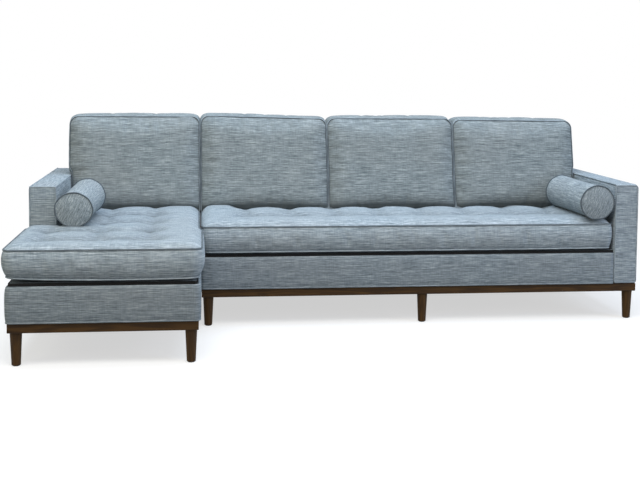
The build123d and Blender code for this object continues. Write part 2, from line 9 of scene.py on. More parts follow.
import bmesh
import bpy
import numpy as np
from mathutils import Matrix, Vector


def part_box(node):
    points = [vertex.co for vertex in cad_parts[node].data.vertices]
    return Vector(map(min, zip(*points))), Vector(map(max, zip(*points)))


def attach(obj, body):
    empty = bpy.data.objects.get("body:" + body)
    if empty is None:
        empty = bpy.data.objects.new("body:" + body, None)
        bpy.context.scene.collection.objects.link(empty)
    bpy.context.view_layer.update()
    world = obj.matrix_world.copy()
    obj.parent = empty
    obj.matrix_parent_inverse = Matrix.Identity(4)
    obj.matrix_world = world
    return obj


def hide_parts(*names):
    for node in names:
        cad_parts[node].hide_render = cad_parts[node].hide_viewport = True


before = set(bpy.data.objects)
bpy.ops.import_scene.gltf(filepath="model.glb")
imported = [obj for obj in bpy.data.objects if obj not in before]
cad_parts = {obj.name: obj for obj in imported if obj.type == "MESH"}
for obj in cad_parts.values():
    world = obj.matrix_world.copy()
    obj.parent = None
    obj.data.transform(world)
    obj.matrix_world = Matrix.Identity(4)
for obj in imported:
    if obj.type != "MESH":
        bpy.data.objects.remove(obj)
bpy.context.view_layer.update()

LOG = logging.getLogger("sofa")
Array = np.ndarray
Triple = tuple[float, float, float]
Colour = Triple
Material = bpy.types.Material
Outline = list[tuple[float, float]]
UP = np.array([0.0, 0.0, 1.0])
RIGHT = np.array([1.0, 0.0, 0.0])
REARWARD = np.array([0.0, 1.0, 0.0])
HAIR = 0.0004  # the gap that keeps two resting pieces from sharing a face
CLOTH_FRAMES = 20
COVER_WELT = 0.0034  # radius of the welts on the fixed covers
PATH_STEP = 0.02  # spacing of points along the fixed covers' paths
WHITE = (1.0, 1.0, 1.0, 1.0)


class Grain(Enum):
    """The row axis that a board's grain runs along."""

    X = 0
    Y = 1
    Z = 2


def span(node: str) -> tuple[Array, Array]:
    """The lowest and highest corner of a CAD node as arrays."""
    low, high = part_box(node)
    return np.array(low), np.array(high)


def ripple(places: Array, seed: int, waves: Sequence[float] = (1.0, 2.3, 4.1)) -> Array:
    """A smooth uneven line between -1 and 1: sines of each wave number with seeded phases, weighted 1/n.

    Args:
        places: positions, in radians of the first wave.
        seed: picks the phases.
        waves: wave numbers.

    Returns:
        The line's height at each place.
    """
    phases = np.random.default_rng(seed).uniform(0, 2 * np.pi, len(waves))
    shares = 1 / np.arange(1, len(waves) + 1)
    parts = [s * np.sin(w * places + p) for s, w, p in zip(shares, waves, phases)]
    return sum(parts) / shares.sum()


def unit(vectors: Array) -> Array:
    """Vectors divided by their lengths."""
    return vectors / np.maximum(np.linalg.norm(vectors, axis=-1, keepdims=True), 1e-12)


def ruled_line(stops: Sequence[float], step: float) -> Array:
    """Positions from the lowest stop to the highest, about a step apart, that include each stop.

    Args:
        stops: positions that must be met.
        step: wanted spacing.

    Returns:
        The positions in order.
    """
    marks = sorted({round(float(stop), 6) for stop in stops})
    runs = [
        np.linspace(low, high, max(1, round((high - low) / step)), endpoint=False)
        for low, high in zip(marks, marks[1:])
    ]
    return np.concatenate(runs + [np.array(marks[-1:])])


def eased(share: Array) -> Array:
    """A share held between 0 and 1 and eased at both ends: t^2 (3 - 2t)."""
    held = np.clip(share, 0, 1)
    return held**2 * (3 - 2 * held)


def run_lengths(path: Array, closed: bool = False) -> Array:
    """Distance along a path at each of its points, and once more at the first where the path is closed."""
    ahead = np.concatenate([path, path[:1]]) if closed else path
    return np.concatenate([[0.0], np.cumsum(np.linalg.norm(np.diff(ahead, axis=0), axis=1))])


def loop_way(path: Array) -> Array:
    """The direction of travel at each point of a closed path."""
    return unit(np.roll(path, -1, axis=0) - np.roll(path, 1, axis=0))


def right_of(way: Array) -> Array:
    """Directions turned a quarter clockwise in their first two components, with any third set to 0."""
    turned = np.zeros_like(way)
    turned[:, 0], turned[:, 1] = way[:, 1], -way[:, 0]
    return turned


def cell_corners(grid: Array) -> Array:
    """The corners (i, j), (i, j+1), (i+1, j+1) and (i+1, j) of each cell of a grid, on a new third axis."""
    return np.stack([grid[:-1, :-1], grid[:-1, 1:], grid[1:, 1:], grid[1:, :-1]], axis=2)


@dataclass
class Shell:
    """One surface as whole arrays: points, quads by point number, and UVs in metres for each quad's corners."""

    points: Array
    quads: Array
    uvs: Array


def grid_shell(points: Array, uvs: Array, wrap: bool = False) -> Shell:
    """Quads over a grid: quad (i, j) joins (i, j), (i, j+1), (i+1, j+1) and (i+1, j).

    Args:
        points: rows by columns by 3.
        uvs: rows by columns by 2, with one column more where the grid wraps.
        wrap: the last column meets the first.

    Returns:
        The surface.
    """
    number = np.arange(points.shape[0] * points.shape[1]).reshape(points.shape[:2])
    if wrap:
        number = np.concatenate([number, number[:, :1]], axis=1)
    return Shell(points.reshape(-1, 3), cell_corners(number).reshape(-1, 4), cell_corners(uvs).reshape(-1, 4, 2))


def sleeve(points: Array, along: Array, around: Array) -> Shell:
    """Rings joined to a closed sleeve, with u along it and v round it.

    Args:
        points: rows by columns by 3, each row a ring.
        along: length at each row.
        around: length at each column, and once more at the first.

    Returns:
        The surface.
    """
    return grid_shell(points, np.stack(np.meshgrid(along, around, indexing="ij"), axis=-1), wrap=True)


def capped_sleeve(points: Array, along: Array, around: Array, flat: Array, caps: int) -> Shell:
    """A sleeve whose first and last rows close its ends and take their UV from a flat place.

    Args:
        points: rows by columns by 3, each row a ring.
        along: length at each row.
        around: length at each column, and once more at the first.
        flat: rows by columns by 2, the ends' UV.
        caps: rows in each end.

    Returns:
        The surface.
    """
    shell = sleeve(points, along, around)
    ends = cell_corners(np.concatenate([flat, flat[:, :1]], axis=1)).reshape(-1, 4, 2)
    row = np.repeat(np.arange(len(points) - 1), points.shape[1])
    on_end = (row < caps) | (row >= len(points) - caps - 1)
    shell.uvs = np.where(on_end[:, None, None], ends, shell.uvs)
    return shell


def make_piece(name: str, shell: Shell, material: Material, weld: bool = True) -> bpy.types.Object:
    """A mesh object at the origin with a UV map in metres, smooth faces and outward normals.

    Args:
        name: the piece's name.
        shell: its surface.
        material: its finish.
        weld: merge points that coincide, which closes poles and seams.

    Returns:
        The object, linked to the scene.
    """
    mesh = bpy.data.meshes.new(name)
    mesh.from_pydata(shell.points.tolist(), [], shell.quads.tolist())
    layer = mesh.uv_layers.new(name="UVMap")
    layer.data.foreach_set("uv", shell.uvs.astype(np.float32).ravel())
    shaped = bmesh.new()
    shaped.from_mesh(mesh)
    if weld:
        bmesh.ops.remove_doubles(shaped, verts=shaped.verts, dist=2e-5)
    bmesh.ops.recalc_face_normals(shaped, faces=shaped.faces)
    shaped.to_mesh(mesh)
    shaped.free()
    mesh.shade_smooth()
    mesh.materials.append(material)
    piece = bpy.data.objects.new(name, mesh)
    bpy.context.scene.collection.objects.link(piece)
    return piece


def enrol(
    piece: bpy.types.Object, body: str, nodes: Sequence[str] = ()
) -> None:
    """Parents a finished piece to its body's empty and hides the CAD nodes that it stands for.

    Args:
        piece: in its place.
        body: what it moves with.
        nodes: CAD nodes that it stands for.
    """
    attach(piece, body)
    if nodes:
        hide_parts(*nodes)


def tube(path: Array, radius: float, closed: bool, guide: Array | None = None) -> Shell:
    """A round cord: a circle of the radius, in 8 sides, carried square to the path.

    The circle's first direction is the tangent crossed with the guide: up, or the front where the path is upright.

    Args:
        path: points along the middle of the cord.
        radius: of the cord.
        closed: the path is a loop.
        guide: one direction to use instead.

    Returns:
        The cord's surface, with u along it and v round it; an open cord has closed ends.
    """
    sides = 8
    tangent = loop_way(path) if closed else unit(np.gradient(path, axis=0))
    if guide is None:
        guide = np.where(np.abs(tangent[:, 2:]) > 0.9, -REARWARD[None], UP[None])
    first = unit(np.cross(tangent, guide))
    second = np.cross(first, tangent)
    angle = np.linspace(0, 2 * np.pi, sides, endpoint=False)
    rim = first[:, None] * np.cos(angle)[None, :, None] + second[:, None] * np.sin(angle)[None, :, None]
    points = path[:, None] + radius * rim
    along = run_lengths(path, closed)
    if closed:
        points = np.concatenate([points, points[:1]])
    else:
        points = np.concatenate([path[:1, None] + 0 * points[:1], points, path[-1:, None] + 0 * points[-1:]])
        along = np.concatenate([along[:1], along, along[-1:]])
    return sleeve(points, along, np.arange(sides + 1) * (2 * np.pi * radius / sides))


class Value:
    """A socket in a material that Python's operators work on."""

    def __init__(self, graph: "Graph", socket: bpy.types.NodeSocket | None) -> None:
        """Keeps the socket and the graph that it is in."""
        self.graph = graph
        self.socket = socket

    def _maths(self, operation: str, *terms: Any) -> "Value":
        """A Math node of that operation on these terms."""
        return self.graph.node("ShaderNodeMath", {"operation": operation}, dict(enumerate(terms)))

    def __add__(self, other: Any) -> "Value":
        """self + other."""
        return self._maths("ADD", self, other)

    __radd__ = __add__

    def __sub__(self, other: Any) -> "Value":
        """self - other."""
        return self._maths("SUBTRACT", self, other)

    def __rsub__(self, other: Any) -> "Value":
        """other - self."""
        return self._maths("SUBTRACT", other, self)

    def __mul__(self, other: Any) -> "Value":
        """self * other."""
        return self._maths("MULTIPLY", self, other)

    __rmul__ = __mul__

    def clamped(self) -> "Value":
        """self held between 0 and 1."""
        return self._maths("MINIMUM", self._maths("MAXIMUM", self, 0.0), 1.0)

    def sine(self) -> "Value":
        """The sine of self."""
        return self._maths("SINE", self)


class Graph:
    """The node tree of a material or a world."""

    def __init__(self, owner: Material | bpy.types.World) -> None:
        """Empties the owner's tree."""
        self.owner = owner
        owner.use_nodes = True
        self.tree = owner.node_tree
        self.tree.nodes.clear()

    def node(self, kind: str, settings: dict[str, Any], inputs: dict[Any, Any], out: Any = 0) -> Value:
        """Adds a node.

        Args:
            kind: the node's type.
            settings: its own settings, set first; "stops" fills a ramp with (place, colour) pairs.
            inputs: socket name or number to a value, or to a socket to link.
            out: the output wanted.

        Returns:
            That output, or a value with no socket where the node has none.
        """
        made = self.tree.nodes.new(kind)
        for key, value in settings.items():
            if key == "stops":
                ramp = made.color_ramp
                while len(ramp.elements) < len(value):
                    ramp.elements.new(0.5)
                for element, (place, colour) in zip(ramp.elements, value):
                    element.position = place
                    element.color = (*colour, 1.0)
            else:
                setattr(made, key, value)
        for key, value in inputs.items():
            if isinstance(value, Value):
                self.tree.links.new(value.socket, made.inputs[key])
            else:
                made.inputs[key].default_value = value
        return Value(self, made.outputs[out] if made.outputs else None)

    def noise(self, place: Value, stretch: Sequence[float], detail: float) -> Value:
        """Noise over a place that is first stretched by wave counts per metre."""
        scaled = self.node("ShaderNodeVectorMath", {"operation": "MULTIPLY"}, {0: place, 1: stretch})
        return self.node("ShaderNodeTexNoise", {}, {"Vector": scaled, "Scale": 1.0, "Detail": detail})

    def axis(self, place: Value, which: str) -> Value:
        """One component of a place."""
        return self.node("ShaderNodeSeparateXYZ", {}, {0: place}, which)

    def ramp(self, value: Value, stops: list[tuple[float, Colour]]) -> Value:
        """A colour from a value by stops."""
        return self.node("ShaderNodeValToRGB", {"stops": stops}, {0: value})

    def blend(self, factor: Value, first: Value, second: Colour) -> Value:
        """One colour turning into another."""
        return self.node("ShaderNodeMix", {"data_type": "RGBA"}, {0: factor, 6: first, 7: (*second, 1.0)}, 2)

    def bump(self, height: Value, strength: float, distance: float) -> Value:
        """A normal from a height."""
        return self.node("ShaderNodeBump", {}, {"Height": height, "Strength": strength, "Distance": distance})

    def finish(self, sockets: dict[str, Any]) -> Material:
        """Ends in a Principled shader with these sockets set or linked.

        Args:
            sockets: socket name to value or link.

        Returns:
            The material.
        """
        return self.show(self.node("ShaderNodeBsdfPrincipled", {}, sockets))

    def show(self, shader: Value) -> Material | bpy.types.World:
        """Links a shader to the output and hands back the owner."""
        kind = "World" if isinstance(self.owner, bpy.types.World) else "Material"
        self.node(f"ShaderNodeOutput{kind}", {}, {"Surface": shader})
        return self.owner


@dataclass(frozen=True)
class Tweed:
    """Slubbed tweed on the UV map: long weft slubs, short flecks and faint warp threads.

    Where a piece's shade attribute is high, the cloth is painted darker: painted shade in the tufts, valleys and
    contact lines. On a cord of radius `cord`, the side at the given angle round it is painted dark: painted shade
    of the groove where the cord is stitched to the panel. A `strength` below 1 gives a darker copy of the tweed,
    which stands in for shade.
    """

    name: str = "blue_grey_tweed"
    dark: Colour = (0.145, 0.182, 0.21)
    middle: Colour = (0.30, 0.355, 0.393)
    light: Colour = (0.55, 0.62, 0.66)
    warm: Colour = (0.34, 0.35, 0.35)
    slub: Triple = (10.5, 215.0, 1.0)
    fleck: Triple = (38.0, 330.0, 1.0)
    warp: Triple = (215.0, 20.0, 1.0)
    thread_pitch: float = 0.0026
    strength: Colour = (1.0, 1.0, 1.0)
    cord: float = 0.0
    groove_shade: float = 1.3

    def make(self) -> Material:
        """The cloth's material."""
        graph = Graph(bpy.data.materials.new(self.name))
        place = graph.node("ShaderNodeTexCoord", {}, {}, "UV")
        slub = graph.noise(place, self.slub, 3.0)
        fleck = graph.noise(place, self.fleck, 2.0)
        warp = graph.noise(place, self.warp, 1.0)
        tone = graph.noise(place, (2.6, 3.4, 1.0), 1.0)
        shade = 0.47 + (slub - 0.5) * 1.45 + (fleck - 0.5) * 0.95 + (warp - 0.5) * 0.3
        dyes = (self.dark, self.middle, self.light, self.warm)
        dark, middle, light, warm = (tuple(s * c for s, c in zip(self.strength, dye)) for dye in dyes)
        cloth = graph.ramp(shade, [(0.12, dark), (0.5, middle), (0.88, light)])
        mixed = graph.blend((tone - 0.35).clamped() * 0.55, cloth, warm)
        # painted shade: the per-point shade attribute darkens the cloth in tufts, valleys and contact lines
        pressed = graph.node("ShaderNodeAttribute", {"attribute_name": "pressed"}, {}, "Fac")
        mixed = graph.blend((pressed * 1.1).clamped(), mixed, tuple(0.36 * c for c in middle))
        # painted shade: the side of the cord at the given angle is painted dark as the shade of its seam groove
        if self.cord:
            round_cord = (graph.axis(place, "Y") * (1 / self.cord) + (math.pi / 2 - self.groove_shade)).sine()
            groove_shade = ((round_cord - 0.1) * 3.0).clamped() * 0.8
            mixed = graph.blend(groove_shade, mixed, tuple(0.35 * c for c in self.dark))
        turn = 2 * math.pi / self.thread_pitch
        weave = (graph.axis(place, "X") * turn).sine() * (graph.axis(place, "Y") * turn).sine()
        height = weave * 0.35 + slub * 0.8 + fleck * 0.6
        return graph.finish(
            {
                "Base Color": mixed,
                "Roughness": 0.92,
                "Normal": graph.bump(height, 0.35, 0.0016),
                "Specular IOR Level": 0.2,
                "Sheen Weight": 0.1,
                "Sheen Roughness": 0.45,
                "Sheen Tint": (0.82, 0.95, 1.0, 1.0),
            }
        )


@dataclass(frozen=True)
class Timber:
    """Wood on Object coordinates, with its grain along one row axis."""

    name: str
    dark: Colour
    light: Colour
    roughness: float

    def make(self, grain: Grain) -> Material:
        """The wood's material.

        Args:
            grain: the axis that the fibres follow.

        Returns:
            The material.
        """
        graph = Graph(bpy.data.materials.new(f"{self.name}_{grain.name.lower()}"))
        place = graph.node("ShaderNodeTexCoord", {}, {}, "Object")

        def stretched(along: float, across: float) -> Triple:
            """Wave counts per metre along and across the fibres."""
            return tuple(along if axis == grain.value else across for axis in range(3))

        figure = graph.noise(place, stretched(2.2, 26.0), 3.0)
        fibre = graph.noise(place, stretched(14.0, 420.0), 2.0)
        pore = graph.noise(place, stretched(45.0, 900.0), 1.0)
        rings = ((figure * 38.0).sine() * 0.5 + 0.5) * 0.45
        shade = (rings + fibre * 0.55 + (figure - 0.5) * 0.5).clamped()
        colour = graph.ramp(shade, [(0.1, self.dark), (0.85, self.light)])
        rough = self.roughness + (fibre - 0.5) * 0.18 + (pore - 0.5) * 0.1
        return graph.finish(
            {
                "Base Color": colour,
                "Roughness": rough,
                "Normal": graph.bump(fibre * 0.5 + pore * 0.5, 0.18, 0.0006),
                "Specular IOR Level": 0.18,
            }
        )


@dataclass(frozen=True)
class PlainCloth:
    """A plain woven or felted cloth on Object coordinates."""

    name: str
    dark: Colour
    light: Colour
    pitch: float
    stain: float

    def make(self) -> Material:
        """The cloth's material."""
        graph = Graph(bpy.data.materials.new(self.name))
        place = graph.node("ShaderNodeTexCoord", {}, {}, "Object")
        turn = 2 * math.pi / self.pitch
        threads = (graph.axis(place, "X") * turn).sine() * (graph.axis(place, "Y") * turn).sine()
        fuzz = graph.noise(place, (260.0, 260.0, 260.0), 3.0)
        stain = graph.noise(place, (6.0, 6.0, 6.0), 2.0)
        shade = (threads * 0.2 + fuzz * 0.7 + (stain - 0.5) * self.stain + 0.1).clamped()
        colour = graph.ramp(shade, [(0.15, self.dark), (0.85, self.light)])
        return graph.finish(
            {
                "Base Color": colour,
                "Roughness": 0.95,
                "Normal": graph.bump(threads * 0.5 + fuzz, 0.3, 0.0008),
                "Specular IOR Level": 0.15,
            }
        )


@dataclass(frozen=True)
class PlatedSteel:
    """Zinc-plated steel with a fine brushed drift in its gloss."""

    name: str = "zinc_steel"
    tint: Colour = (0.52, 0.53, 0.54)

    def make(self) -> Material:
        """The metal's material."""
        graph = Graph(bpy.data.materials.new(self.name))
        place = graph.node("ShaderNodeTexCoord", {}, {}, "Object")
        drift = graph.noise(place, (60.0, 900.0, 60.0), 2.0)
        bloom = graph.noise(place, (45.0, 45.0, 45.0), 3.0)
        colour = graph.ramp(bloom, [(0.3, tuple(0.8 * c for c in self.tint)), (0.7, self.tint)])
        return graph.finish(
            {
                "Base Color": colour,
                "Metallic": 1.0,
                "Roughness": 0.32 + drift * 0.22,
                "Normal": graph.bump(drift, 0.1, 0.0003),
            }
        )


@dataclass(frozen=True)
class MouldedNylon:
    """Black moulded nylon with scuffs."""

    name: str = "glide_nylon"
    dark: Colour = (0.016, 0.016, 0.017)
    scuffed: Colour = (0.06, 0.06, 0.058)

    def make(self) -> Material:
        """The plastic's material."""
        graph = Graph(bpy.data.materials.new(self.name))
        place = graph.node("ShaderNodeTexCoord", {}, {}, "Object")
        scuff = graph.noise(place, (240.0, 240.0, 240.0), 4.0)
        colour = graph.ramp(scuff, [(0.45, self.dark), (0.75, self.scuffed)])
        return graph.finish(
            {"Base Color": colour, "Roughness": 0.4 + scuff * 0.35, "Normal": graph.bump(scuff, 0.15, 0.0004)}
        )


class Palette:
    """Every finish of the sofa, made once."""

    def __init__(self) -> None:
        """Makes the materials."""
        walnut = Timber("walnut", (0.017, 0.0075, 0.002), (0.068, 0.034, 0.0095), 0.6)
        hardwood = Timber("frame_hardwood", (0.42, 0.27, 0.15), (0.68, 0.5, 0.32), 0.75)
        self.tweed = Tweed().make()
        # painted shade: these darker copies of one tweed stand in for shade on the backs, base, bolsters, arms and
        # back piping
        self.shaded_back_tweed = Tweed("shaded_back_cushion_tweed", strength=(0.715, 0.7, 0.66)).make()
        self.base_tweed = Tweed("base_tweed", strength=(0.76, 0.76, 0.76)).make()
        self.roll_tweed = Tweed("bolster_tweed", strength=(0.87, 0.86, 0.84)).make()
        self.arm_tweed = Tweed("arm_tweed", strength=(0.95, 0.95, 0.95)).make()
        cord = BoxedCushion.welt
        # painted shade: each piping's dark side stands in for the shade of its seam groove
        self.seat_piping = Tweed("seat_piping_tweed", cord=cord, groove_shade=1.3).make()
        self.back_piping = Tweed("back_piping_tweed", strength=(0.86, 0.86, 0.86), cord=cord, groove_shade=2.7).make()
        self.walnut = {grain: walnut.make(grain) for grain in Grain}
        self.hardwood = {grain: hardwood.make(grain) for grain in Grain}
        self.deck = PlainCloth("deck_cloth", (0.16, 0.19, 0.21), (0.34, 0.38, 0.42), 0.0022, 0.2).make()
        self.webbing = PlainCloth("elastic_webbing", (0.02, 0.02, 0.022), (0.16, 0.15, 0.14), 0.003, 0.1).make()
        # black cambric for the dust sheets; also the painted-shade strip in the gaps under the cushions
        self.dust = PlainCloth("dust_cloth", (0.006, 0.006, 0.006), (0.035, 0.035, 0.036), 0.0018, 0.2).make()
        self.steel = PlatedSteel().make()
        self.nylon = MouldedNylon().make()


@dataclass(frozen=True)
class Basis:
    """A frame for a flat panel: its origin, and its directions across, along and out of the face."""

    origin: Array
    across: Array
    along: Array
    out: Array

    def place(self, local: Array) -> Array:
        """Row points from (across, along, out) triples."""
        return self.origin + local @ np.stack([self.across, self.along, self.out])


def inside(outline: Outline, a: Array, b: Array) -> Array:
    """Even-odd test against a right-angled outline: a ray towards +a crosses its upright sides.

    Args:
        outline: corners in order.
        a: places across.
        b: places along.

    Returns:
        True where a place is inside.
    """
    odd = np.zeros(a.shape, bool)
    for (x, y), (_, end) in zip(outline, outline[1:] + outline[:1]):
        low, high = sorted((y, end))
        odd ^= (b > low) & (b <= high) & (a < x)
    return odd


def seam_depth(outline: Outline, a: Array, b: Array, blur: float) -> Array:
    """Distance in from the nearest side, blurred where sides meet: -blur * ln(sum of exp(-d / blur)).

    Args:
        outline: corners in order.
        a: places across.
        b: places along.
        blur: how far two sides' distances merge.

    Returns:
        The distance, 0 on the outline.
    """
    total = np.zeros(a.shape)
    for (x0, y0), (x1, y1) in zip(outline, outline[1:] + outline[:1]):
        off_a = np.maximum(np.maximum(min(x0, x1) - a, a - max(x0, x1)), 0)
        off_b = np.maximum(np.maximum(min(y0, y1) - b, b - max(y0, y1)), 0)
        total += np.exp(-np.hypot(off_a, off_b) / blur)
    return np.maximum(-blur * np.log(total), 0)


def turns_out(outline: Outline) -> list[bool]:
    """Whether each corner of an anticlockwise outline points outwards."""
    corners = np.array(outline)
    come = corners - np.roll(corners, 1, axis=0)
    leave = np.roll(corners, -1, axis=0) - corners
    return list(come[:, 0] * leave[:, 1] - come[:, 1] * leave[:, 0] > 0)


@dataclass(frozen=True)
class EdgeDrift:
    """How one side of a cushion strays sideways along its length, towards +across where positive.

    It is a wave of that height, a straight lean from `foot` to `head`, and a shelf that grows by a smooth step
    over `run` from `start`.
    """

    seed: int = 0
    wave: float = 0.0
    foot: float = 0.0
    head: float = 0.0
    shelf: float = 0.0
    start: float = 0.0
    run: float = 0.08
    length: float = 0.485

    def at(self, along: Array) -> Array:
        """The stray at each place along the side."""
        lean = self.foot + (self.head - self.foot) * along / self.length
        shelf = self.shelf * eased((along - self.start) / self.run)
        return self.wave * ripple(along * 11, self.seed) + lean + shelf


@dataclass(frozen=True)
class Side:
    """A side of a cushion, or a stretch of it, whose boxing swells only by a share, as where a neighbour presses.

    Its axis is 0 for a side that faces across and 1 for one that faces along, and way is the sign.
    """

    axis: int
    way: int
    share: float
    low: float = -9.0

    def factor(self, line: Array, normal: Array) -> Array:
        """The share of the swell at each point of the seam."""
        place = line[:, 1 - self.axis]
        facing = np.clip((normal[:, self.axis] * self.way - 0.6) / 0.4, 0, 1)
        return 1 - (1 - self.share) * facing * (place > self.low)


@dataclass(frozen=True)
class Heel:
    """The rise of a seat's rear: full within `reach` of the rear seam, and gone at twice that and by the bolster.

    The bolster lies inside the line `edge`, on the side `way`: the rise starts `clear` from the line and is full
    after `run` more.
    """

    rise: float = 0.0
    edge: float = 0.0
    way: int = 1
    reach: float = 0.22
    clear: float = 0.12
    run: float = 0.18

    def over(self, a: Array, behind: Array) -> Array:
        """The rise, eased both ways.

        Args:
            a: places across the panel.
            behind: distances to the rear seam.

        Returns:
            The rise at each place.
        """
        from_bolster = self.way * (self.edge - a) - self.clear
        return self.rise * eased(2 - behind / self.reach) * eased(from_bolster / self.run)


@dataclass
class BoxedCushion:
    """A boxed cushion with a welt round both panels: a lattice for each panel and a band between them.

    The outline is the seam line. The face panel rises from the seam in a quarter ellipse to its crown,
    and each tuft pulls a dimple into it. The band swells by half a sine to the power 0.7 between the seams.
    Each panel's top edge climbs by `rise` at its ends, the rear panel is drawn in by `under` and lifted at its
    ends by `lift`. Shade is painted on the face in the tufts and valleys or, with a contact fade, up to
    `contact` from the foot, where the cushion meets the seat.
    """

    name: str
    node: str
    body: str
    basis: Basis
    outline: Outline
    boxing: float
    crown: float
    rear_crown: float
    fill: float
    seed: int
    tufts: Array = field(default_factory=lambda: np.zeros((0, 2)))
    tuft_depth: float = 0.036
    tuft_width: float = 0.056
    valley: float = 0.021
    valley_width: float = 0.042
    neighbour: float = 0.26
    crown_reach: float = 0.1
    bulge: float = 0.011
    corners: tuple[float, ...] = (0.042,)
    step: float = 0.0125
    band_rows: int = 9
    welt: float = 0.0033
    pressure: float = 6.0
    cap: float = 0.012
    slack: float = 0.012
    rise: tuple[float, float] = (0.0, 0.0)
    left: EdgeDrift = EdgeDrift()
    right: EdgeDrift = EdgeDrift()
    sides: tuple[Side, ...] = ()
    under: tuple[float, float] = (0.0, 0.0)
    lift: tuple[float, float] = (0.0, 0.0)
    gather: float = 0.0
    contact: float = 0.037
    contact_shade_fade: float = 0.0
    heel: Heel = Heel()
    creases: tuple[float, ...] = ()
    floor_z: float = 0.0
    ceiling_z: float = 9.0
    rests_on: list["BoxedCushion"] = field(default_factory=list)

    def lattice(self) -> None:
        """Lays out the panel's lattice, its cells inside the outline and its loop of seam points."""
        self.xs = ruled_line([a for a, _ in self.outline], self.step)
        self.ys = ruled_line([b for _, b in self.outline], self.step)
        self.a, self.b = np.meshgrid(self.xs, self.ys)
        middle_a = (self.a[:-1, :-1] + self.a[1:, 1:]) / 2
        middle_b = (self.b[:-1, :-1] + self.b[1:, 1:]) / 2
        cells = inside(self.outline, middle_a, middle_b)
        padded = np.pad(cells, 1)
        self.used = padded[:-1, :-1] | padded[:-1, 1:] | padded[1:, :-1] | padded[1:, 1:]
        number = np.cumsum(self.used.ravel()).reshape(self.used.shape) - 1
        self.cells = cell_corners(number)[cells]
        self.cell_uvs = cell_corners(np.dstack([self.a, self.b]))[cells]
        runs = []
        for (x0, y0), (x1, y1) in zip(self.outline, self.outline[1:] + self.outline[:1]):
            start = (np.abs(self.ys - y0).argmin(), np.abs(self.xs - x0).argmin())
            end = (np.abs(self.ys - y1).argmin(), np.abs(self.xs - x1).argmin())
            count = max(abs(end[0] - start[0]), abs(end[1] - start[1]))
            share = np.arange(count)[:, None] / count
            runs.append(np.rint(np.array(start) + share * (np.array(end) - np.array(start))).astype(int))
        rows, cols = np.concatenate(runs).T
        self.loop = number[rows, cols]

    def rounded(self) -> tuple[Array, Array]:
        """The lattice with its outward corners rounded: each corner square (u, v) goes to a quarter disc
        (u * sqrt(1 - v*v/2), v * sqrt(1 - u*u/2))."""
        a, b = self.a.copy(), self.b.copy()
        around = zip(self.outline, turns_out(self.outline), self.outline[-1:] + self.outline[:-1])
        for (x, y), outwards, (px, py) in around:
            if not outwards:
                continue
            index = self.outline.index((x, y))
            nx, ny = self.outline[(index + 1) % len(self.outline)]
            way_a = np.sign((px - x) + (nx - x))
            way_b = np.sign((py - y) + (ny - y))
            radius = self.corners[index % len(self.corners)]
            u = 1 - (self.a - x) * way_a / radius
            v = 1 - (self.b - y) * way_b / radius
            near = (u > 0) & (v > 0) & (u <= 1.001) & (v <= 1.001)
            a[near] = x + way_a * radius * (1 - u * np.sqrt(1 - v * v / 2))[near]
            b[near] = y + way_b * radius * (1 - v * np.sqrt(1 - u * u / 2))[near]
        return a, b

    def dimples(self) -> Array:
        """How far the tufts pull the face in: depth * exp(-(r / width)^1.1) at each tuft, and a valley
        valley * exp(-(d / valley_width)^2) round the nearest line between neighbours, of which those from front
        to back are 0.4 as deep."""
        drop, lines = np.zeros(self.a.shape), np.zeros(self.a.shape)
        for x, y in self.tufts:
            reach = np.hypot(self.a - x, self.b - y)
            drop += self.tuft_depth * np.exp(-((reach / self.tuft_width) ** 1.1))
        gaps = np.linalg.norm(self.tufts[:, None] - self.tufts[None], axis=-1)
        for i, j in np.argwhere(np.triu((gaps > 0) & (gaps < self.neighbour))):
            start, way = self.tufts[i], self.tufts[j] - self.tufts[i]
            share = ((self.a - start[0]) * way[0] + (self.b - start[1]) * way[1]) / (way @ way)
            held = np.clip(share, 0, 1)
            off = np.hypot(self.a - start[0] - held * way[0], self.b - start[1] - held * way[1])
            part = 1.0 if abs(way[0]) > abs(way[1]) else 0.4
            lines = np.maximum(lines, np.exp(-((off / self.valley_width) ** 2)) * part)
        return drop + self.valley * lines

    def puckers(self) -> Array:
        """Short gathers that run in from the side seams: gather * a ripple along the seam * exp(-d / 0.035)."""
        from_side = np.minimum(self.a - self.xs[0], self.xs[-1] - self.a)
        from_end = np.minimum(self.b - self.ys[0], self.ys[-1] - self.b)
        along_side = ripple(self.b * 95 + np.sign(self.a) * 3, self.seed + 5, (1.0, 1.7, 2.3))
        along_end = ripple(self.a * 80 + np.sign(self.b) * 2, self.seed + 6, (1.0, 1.6, 2.2))
        held = np.minimum(from_side, from_end) / 0.012
        fade = np.exp(-from_side / 0.035) * along_side + 0.7 * np.exp(-from_end / 0.03) * along_end
        return self.gather * fade * np.minimum(held, 1)

    def strayed(self, a: Array, b: Array) -> tuple[Array, Array]:
        """The lattice with its sides strayed and its top edge raised at either end.

        Args:
            a: places across.
            b: places along.

        Returns:
            The moved places.
        """
        share = np.clip((a - self.xs[0]) / (self.xs[-1] - self.xs[0]), 0, 1)
        climb = np.clip((b - self.ys[0]) / (self.ys[-1] - self.ys[0]), 0, 1)
        moved = a + self.left.at(b) * (1 - share) ** 4 + self.right.at(b) * share**4
        return moved, b + (self.rise[0] + (self.rise[1] - self.rise[0]) * share) * climb**2

